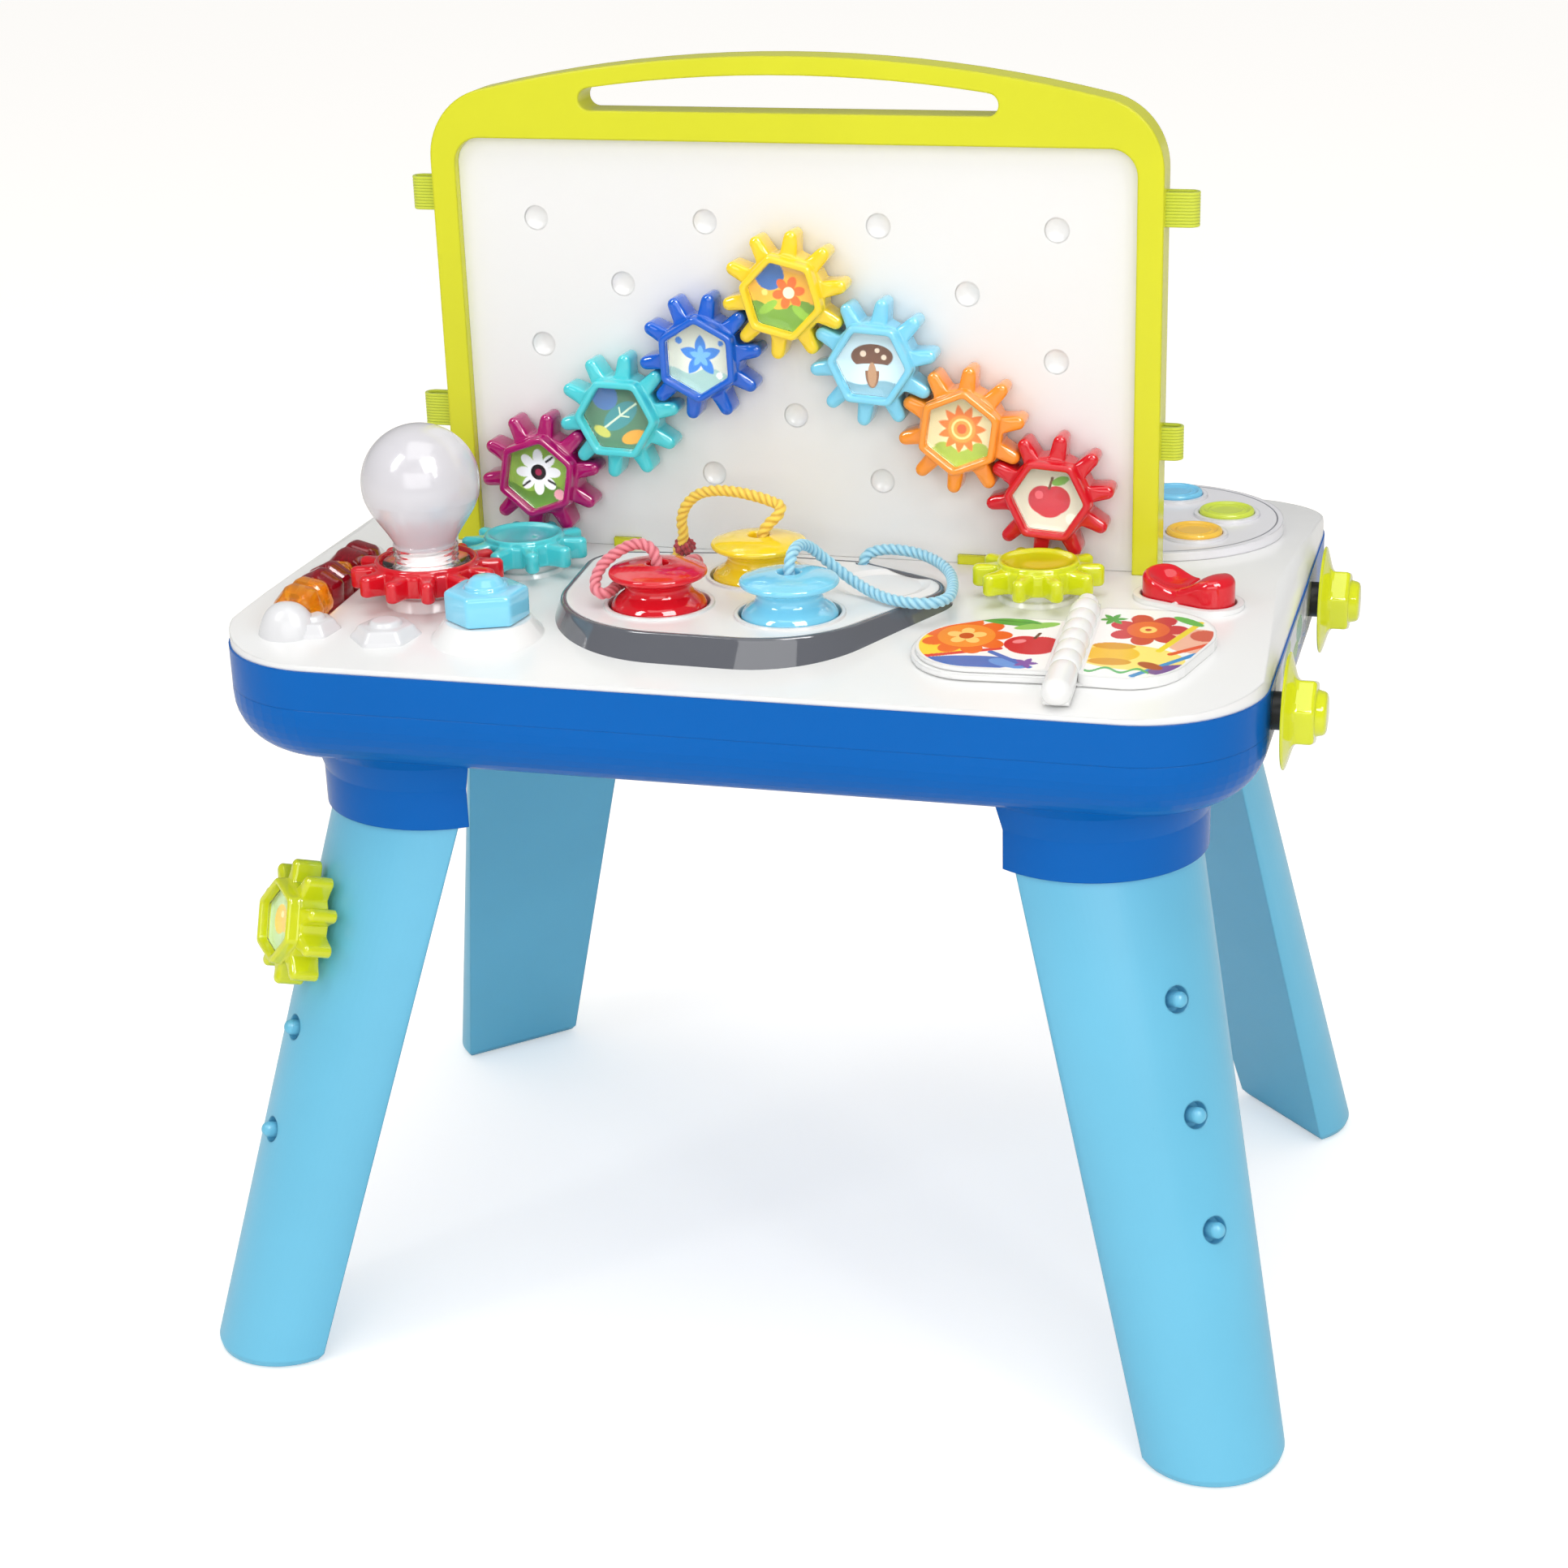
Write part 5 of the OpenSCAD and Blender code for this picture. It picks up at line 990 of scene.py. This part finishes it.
s, t = math.asin(-book["place"][1] / table["crownR"]), math.radians(book["turn"])
bookX = (math.cos(t), math.sin(t), 0)
bookY = (-math.sin(t) * math.cos(s), math.cos(t) * math.cos(s), math.sin(s))
bookZ = (math.sin(t) * math.sin(s), -math.cos(t) * math.sin(s), math.cos(s))
bookAt = np.array([*book["place"], float(deckAt(book["place"][1]))])
for name, part, picture, body, middle in (("book_page_print", "page", bookLeft, "book_page_body", (-36, -3)),
                                          ("book_leaf_print", "leaf", bookRight, "table", (28, 4))):
    outline = hullOutline(book[part], -book["margin"], 300)
    cut = np.minimum if part == "page" else np.maximum
    outline[:, 0] = cut(outline[:, 0], book[part + "End"])
    piece = sheetMesh(name, outline, bookAt + np.array(bookZ) * book[part + "Top"], (bookX, bookY, bookZ),
                      0.12, picture, body, finish["label"], rows=110, centre=middle)


def addSpine():
    # the page's knuckle is ribbed; the front lug is a plump round end
    sleeve = bookAt + np.array(bookZ) * book["sleeve"]
    axes = (bookX, bookY, bookZ)
    front, rear, pitch = -29.6, 37.6, 11.2
    a = circleAngles(64)[None]
    y = np.linspace(front, rear, 200)[:, None]
    r = 4.95 + 0.95 * np.abs(np.sin(math.pi * (y - front) / pitch)) ** 0.55
    r = r * np.clip((y - front) / 1.2 + 0.86, 0, 1) * np.clip((rear - y) / 1.2 + 0.86, 0, 1)
    loops = np.stack([1.12 * r * np.cos(a), y + 0 * a, r * np.sin(a)], -1)
    knuckle = loopMesh("book_spine_ribs", place(loops, sleeve, *axes), "book_page_body", finish["white"], 60)
    bend = np.linspace(0, math.pi / 2 - 0.03, 12)
    y = np.concatenate([np.linspace(front - 1, -51, 8), -51.6 - 6.6 * np.sin(bend)])[:, None]
    k = np.concatenate([[0.9, 0.98], np.ones(6), np.cos(bend)])[:, None]
    c, z = np.cos(a), np.sin(a)
    x = 6.3 * np.sign(c) * np.abs(c) ** 0.8 * k
    loops = np.stack([x, y + 0 * a, np.where(z > 0, 5.8 * z, 5.4 * z) * k], -1)
    lug = loopMesh("book_spine_end", place(loops, sleeve, *axes), "table", finish["white"], 60)


addSpine()
print("book printed")

sideLabel = [
    ("fill", "#C9CCD6"), ("hills", "#8E93A6", -2, 3, 34, 0), ("oval", "#7FA83A", -30, 6, 15, 5, 8),
    ("oval", "#4E9A8C", 22, 3, 13, 6, -10), ("disc", "#F1F1F4", 48, 4, 5),
    ("oval", "#5E9A3A", 2, -4, 17, 5, 4), ("disc", "#E9E9EE", -52, -2, 6),
    ("squiggle", "#3F6FB0", -60, 60, -7, 1.2, 18, 1.2)]
wallLabel = dict(halfLength=74, halfHeight=11.5, y=-21.5, z=325.5, thick=0.15)
corner = [(0.96, 1), (1, 0.8), (1, -0.8), (0.96, -1)]
outline = np.array([(side * x * wallLabel["halfLength"], side * y * wallLabel["halfHeight"])
                    for side in (1, -1) for x, y in corner])
piece = sheetMesh("side_wall_label", closedEvenly(outline, 300),
                  (table["halfW"], wallLabel["y"], wallLabel["z"]), ((0, 1, 0), (0, 0, 1), (1, 0, 0)),
                  wallLabel["thick"], sideLabel, "table", finish["label"], rows=60, centre=(0, 0))

trayRim = dict(circles=[(-26, -78, 60), (9, -86, 53), (61, -57, 20), (30, -40, 19.5), (-70, -43, 19)],
               corner=(90, -63, -2), low=338.9, spread=6.0)


def addRim():
    # sloping outside from the deck up to a rounded crest, then a short inner wall
    t = trayRim
    crest = [(0.15, 354.4), (0.0, 355.0), (-0.15, 355.45), (-0.5, 355.85), (-1.1, 356.05), (-1.9, 356.05),
             (-2.3, 355.85), (-2.5, 355.4), (-2.55, 352.0)]
    foot = atHeight(hullOutline(t["circles"] + [t["corner"]], t["spread"], 420), t["low"])
    loops = [foot] + [atHeight(hullOutline(t["circles"], grow, 420), z) for grow, z in crest]
    loops.append(foot * [0.97, 0.97, 1])
    piece = torusMesh("tray_rim_swept", loops, "table", finish["grey"], 50)
    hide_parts("tray_rim")


addRim()
print("tray rim swept")

buttons = {"blue": (158, 114.5), "lime": (186.5, 86), "yellow": (176, 50)}


def addButton(colour, x, y):
    # a cap with a rolled rim, a groove, a low ring and a flat middle
    skirt = [(0.02, 346.9), (12.6, 346.9), (13.0, 347.3)]
    top = [(13.0, 356.6), (12.9, 357.4), (12.5, 358.0), (11.9, 358.3), (11.2, 358.25), (10.6, 357.8),
           (10.0, 357.35), (9.3, 357.2), (8.7, 357.4), (8.2, 357.75), (7.7, 357.8), (7.2, 357.55),
           (6.6, 357.35), (0.02, 357.3)]
    profile = np.concatenate([skirt, smoothLine(top, 70)])
    profile[:, 0] = np.clip(profile[:, 0], 0.02, 13)
    piece = loopMesh(f"button_{colour}_cap", place(turned(profile), [x, y, 0]), f"button_{colour}_body",
                     finish["button" + colour.capitalize()], 50)
    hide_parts("button_" + colour)


for colour, values in buttons.items():
    addButton(colour, *values)


palette = dict(circles=[(146, 77, 57.1), (154, 77, 57.1)], top=355.0, halfWidth=0.4)


def addPaletteShadeGap():
    # a thin grey bead follows the palette's edge: painted shade standing in for the shadow in the gap round
    # the palette
    line = hullOutline(palette["circles"], 0, 300)
    a = circleAngles(10)[None, :, None]
    flat = line[:, None] + palette["halfWidth"] * np.cos(a) * sideways(line)[:, None]
    loops = np.concatenate([flat, palette["top"] + 0.14 * np.sin(a) + 0 * flat[..., :1]], -1)
    piece = torusMesh("palette_shade_gap", loops, "table", finish["line"], 60)


addPaletteShadeGap()
print("buttons and palette done")

rocker = dict(place=(185.5, -37, 355.5), turn=-24, half=11.5, r=10.4, foot=-7.5)


def addRocker():
    # two pads on one capsule: the left one is dished and lifts outwards, the right one is domed
    k = rocker
    line = hullOutline([(-k["half"], 0, k["r"]), (k["half"], 0, k["r"])], 0, 260)

    def height(x, y):
        s = np.hypot(x - np.clip(x, -k["half"], k["half"]), y) / k["r"]
        lift = 3.2 + 5.2 * (1 - np.exp(-np.square(x / 9.5)))
        dished = -4.4 * np.exp(-(np.square(x + 10.5) + np.square(y + 1.5)) / 60)
        domed = 1.7 * np.exp(-(np.square(x - 11.5) + np.square(y)) / 70)
        rim = 1 - np.sqrt(1 - np.square(np.clip((s - 0.7) / 0.3, 0, 1)))
        return lift + dished + domed - 3.4 * rim + 0.08 * y * (x < 0)

    loops = [atHeight(line, k["foot"])]
    edge = [1.0, 0.998, 0.993, 0.985, 0.975, 0.962, 0.946, 0.927, 0.905]
    for shrink in np.concatenate([edge, np.linspace(0.88, 0.02, 26)]):
        x, y = (line * shrink).T
        loops.append(np.stack([x, y, height(x, y)], -1))
    c, w = math.cos(math.radians(k["turn"])), math.sin(math.radians(k["turn"]))
    loops = place(np.array(loops), k["place"], (c, w, 0), (-w, c, 0))
    piece = loopMesh("rocker_pads", loops, "rocker_body", finish["red"], 60)
    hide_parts("rocker")


addRocker()
print("rocker shaped")

dimple = dict(r=5.4, rim=5.46, depth=4.6, bowl=3.4)


def addDimples():
    # a shallow bowl lines every hole that carries no gear
    taken = {(column, row) for column, row, *_ in boardGears.values()}
    pegHoles = ([(column, row) for row in (0, 2, 4) for column in (-3, -1, 1, 3)]
                + [(column, row) for row in (1, 3) for column in (-2, 0, 2)])
    bend = np.linspace(math.pi / 2, 0.06, 12)
    d = dimple
    rows = np.concatenate([[(0.05, d["depth"]), (d["rim"], d["depth"]), (d["rim"], 0.25)],
                           np.stack([d["r"] * np.sin(bend), 0.35 + d["bowl"] * np.cos(bend)], -1)])
    for i, (column, row) in enumerate(hole for hole in pegHoles if hole not in taken):
        o = [column * table["holeDx"], 0, table["rowZ"] + row * table["holeDz"]]
        loops = place(turned(rows, 48), o, (1, 0, 0), (0, 0, 1), (0, 1, 0))
        piece = loopMesh(f"peg_dimple_{i}", loops, "table", finish["panel"], 60)


addDimples()
print("dimples done")

solidLooks = dict(
    top_deck="white", rim_band="tub", base_tub="tub", leg_front_left="leg", leg_front_right="leg",
    leg_back_left="leg", leg_back_right="leg", board_frame="frame", peg_panel="panel", back_panel="panel",
    tray_top="white", book_base="white", book_page="white", palette_plate="palette",
    battery_door="tub", batteries="battery", circuit_board="board", speaker="black", housing_screws="screw",
    axles_and_bushes="black", bead_rod="rod")
for name, look in solidLooks.items():
    mesh = nodes[name].data
    mesh.materials.clear()
    mesh.materials.append(finish[look])
print("solids finished")

def addFloor():
    # a wide pale floor that keeps the shadow and reads as white to the camera
    mesh = bpy.data.meshes.new("floor")
    mesh.from_pydata([(-30, -30, 0), (30, -30, 0), (30, 30, 0), (-30, 30, 0)], [], [(0, 1, 2, 3)])
    floor = bpy.data.objects.new("floor", mesh)
    scene.collection.objects.link(floor)
    material, tree, link, shader = newMaterial("paleFloor")
    setInputs(shader, Base_Color=(0.88, 0.855, 0.815, 1), Roughness=0.9, Specular_IOR_Level=0.1,
              Emission_Color=(1, 1, 1, 1))
    path = addNode(tree, "ShaderNodeLightPath")
    seen = mathNode(tree, "MAXIMUM", path.outputs["Is Camera Ray"], path.outputs["Is Transmission Ray"])
    link(mathNode(tree, "MULTIPLY", seen, light["floorLift"]), shader.inputs["Emission Strength"])
    mesh.materials.append(material)


def addLamp(name, at, size, power, tall=None, target=(0, 0, 0.35), glint=False):
    # an area lamp turned to its target; a glint lamp shows in polish and lights no matt surface
    data = bpy.data.lights.new(name, "AREA")
    data.shape = "RECTANGLE"
    data.size, data.size_y = size, tall or size
    data.energy = power
    lamp = bpy.data.objects.new(name, data)
    aim = np.array(target, float) - np.array(at, float)
    z = -aim / np.linalg.norm(aim)
    x = np.cross([0, 0, 1.0], z)
    x /= np.linalg.norm(x)
    pose = np.eye(4)
    pose[:3, :3] = np.stack([x, np.cross(z, x), z], 1)
    pose[:3, 3] = at
    lamp.matrix_world = Matrix(pose.tolist())
    lamp.visible_diffuse = not glint
    scene.collection.objects.link(lamp)


light = dict(world=0.66, mirrored=0.27, floorLift=0.4)
addFloor()
addLamp("keyLeft", (-1.5, -1.7, 1.9), 0.3, 5, tall=0.6)
addLamp("keyRight", (1.9, -1.5, 1.6), 0.3, 6, tall=0.6)
addLamp("frontFill", (0.5, -2.2, 1.1), 2.2, 18, tall=1.2, target=(0, 0, 0.36))
addLamp("overhead", (0.1, -0.45, 2.5), 1.5, 14, target=(0, -0.05, 0.3))
addLamp("windowLeft", (-1.15, -1.3, 2.1), 0.5, 26, tall=1.0, target=(0, -0.05, 0.4), glint=True)
addLamp("windowRight", (1.2, -1.25, 2.2), 1.1, 62, tall=1.2, target=(0, -0.05, 0.4), glint=True)
world = bpy.data.worlds.new("studio")
scene.world = world
world.use_nodes = True
tree = world.node_tree
ground = tree.nodes["Background"]
ground.inputs["Color"].default_value = (1, 1, 1, 1)
path = addNode(tree, "ShaderNodeLightPath")
direct = mathNode(tree, "MAXIMUM", path.outputs["Is Camera Ray"], path.outputs["Is Transmission Ray"])
lit = mathNode(tree, "ADD", mathNode(tree, "MULTIPLY", direct, 1 - light["world"]), light["world"])
dimmed = mathNode(tree, "MULTIPLY", path.outputs["Is Glossy Ray"], light["world"] - light["mirrored"])
tree.links.new(mathNode(tree, "SUBTRACT", lit, dimmed), ground.inputs["Strength"])
scene.view_settings.view_transform = "Standard"
print("light and floor set")
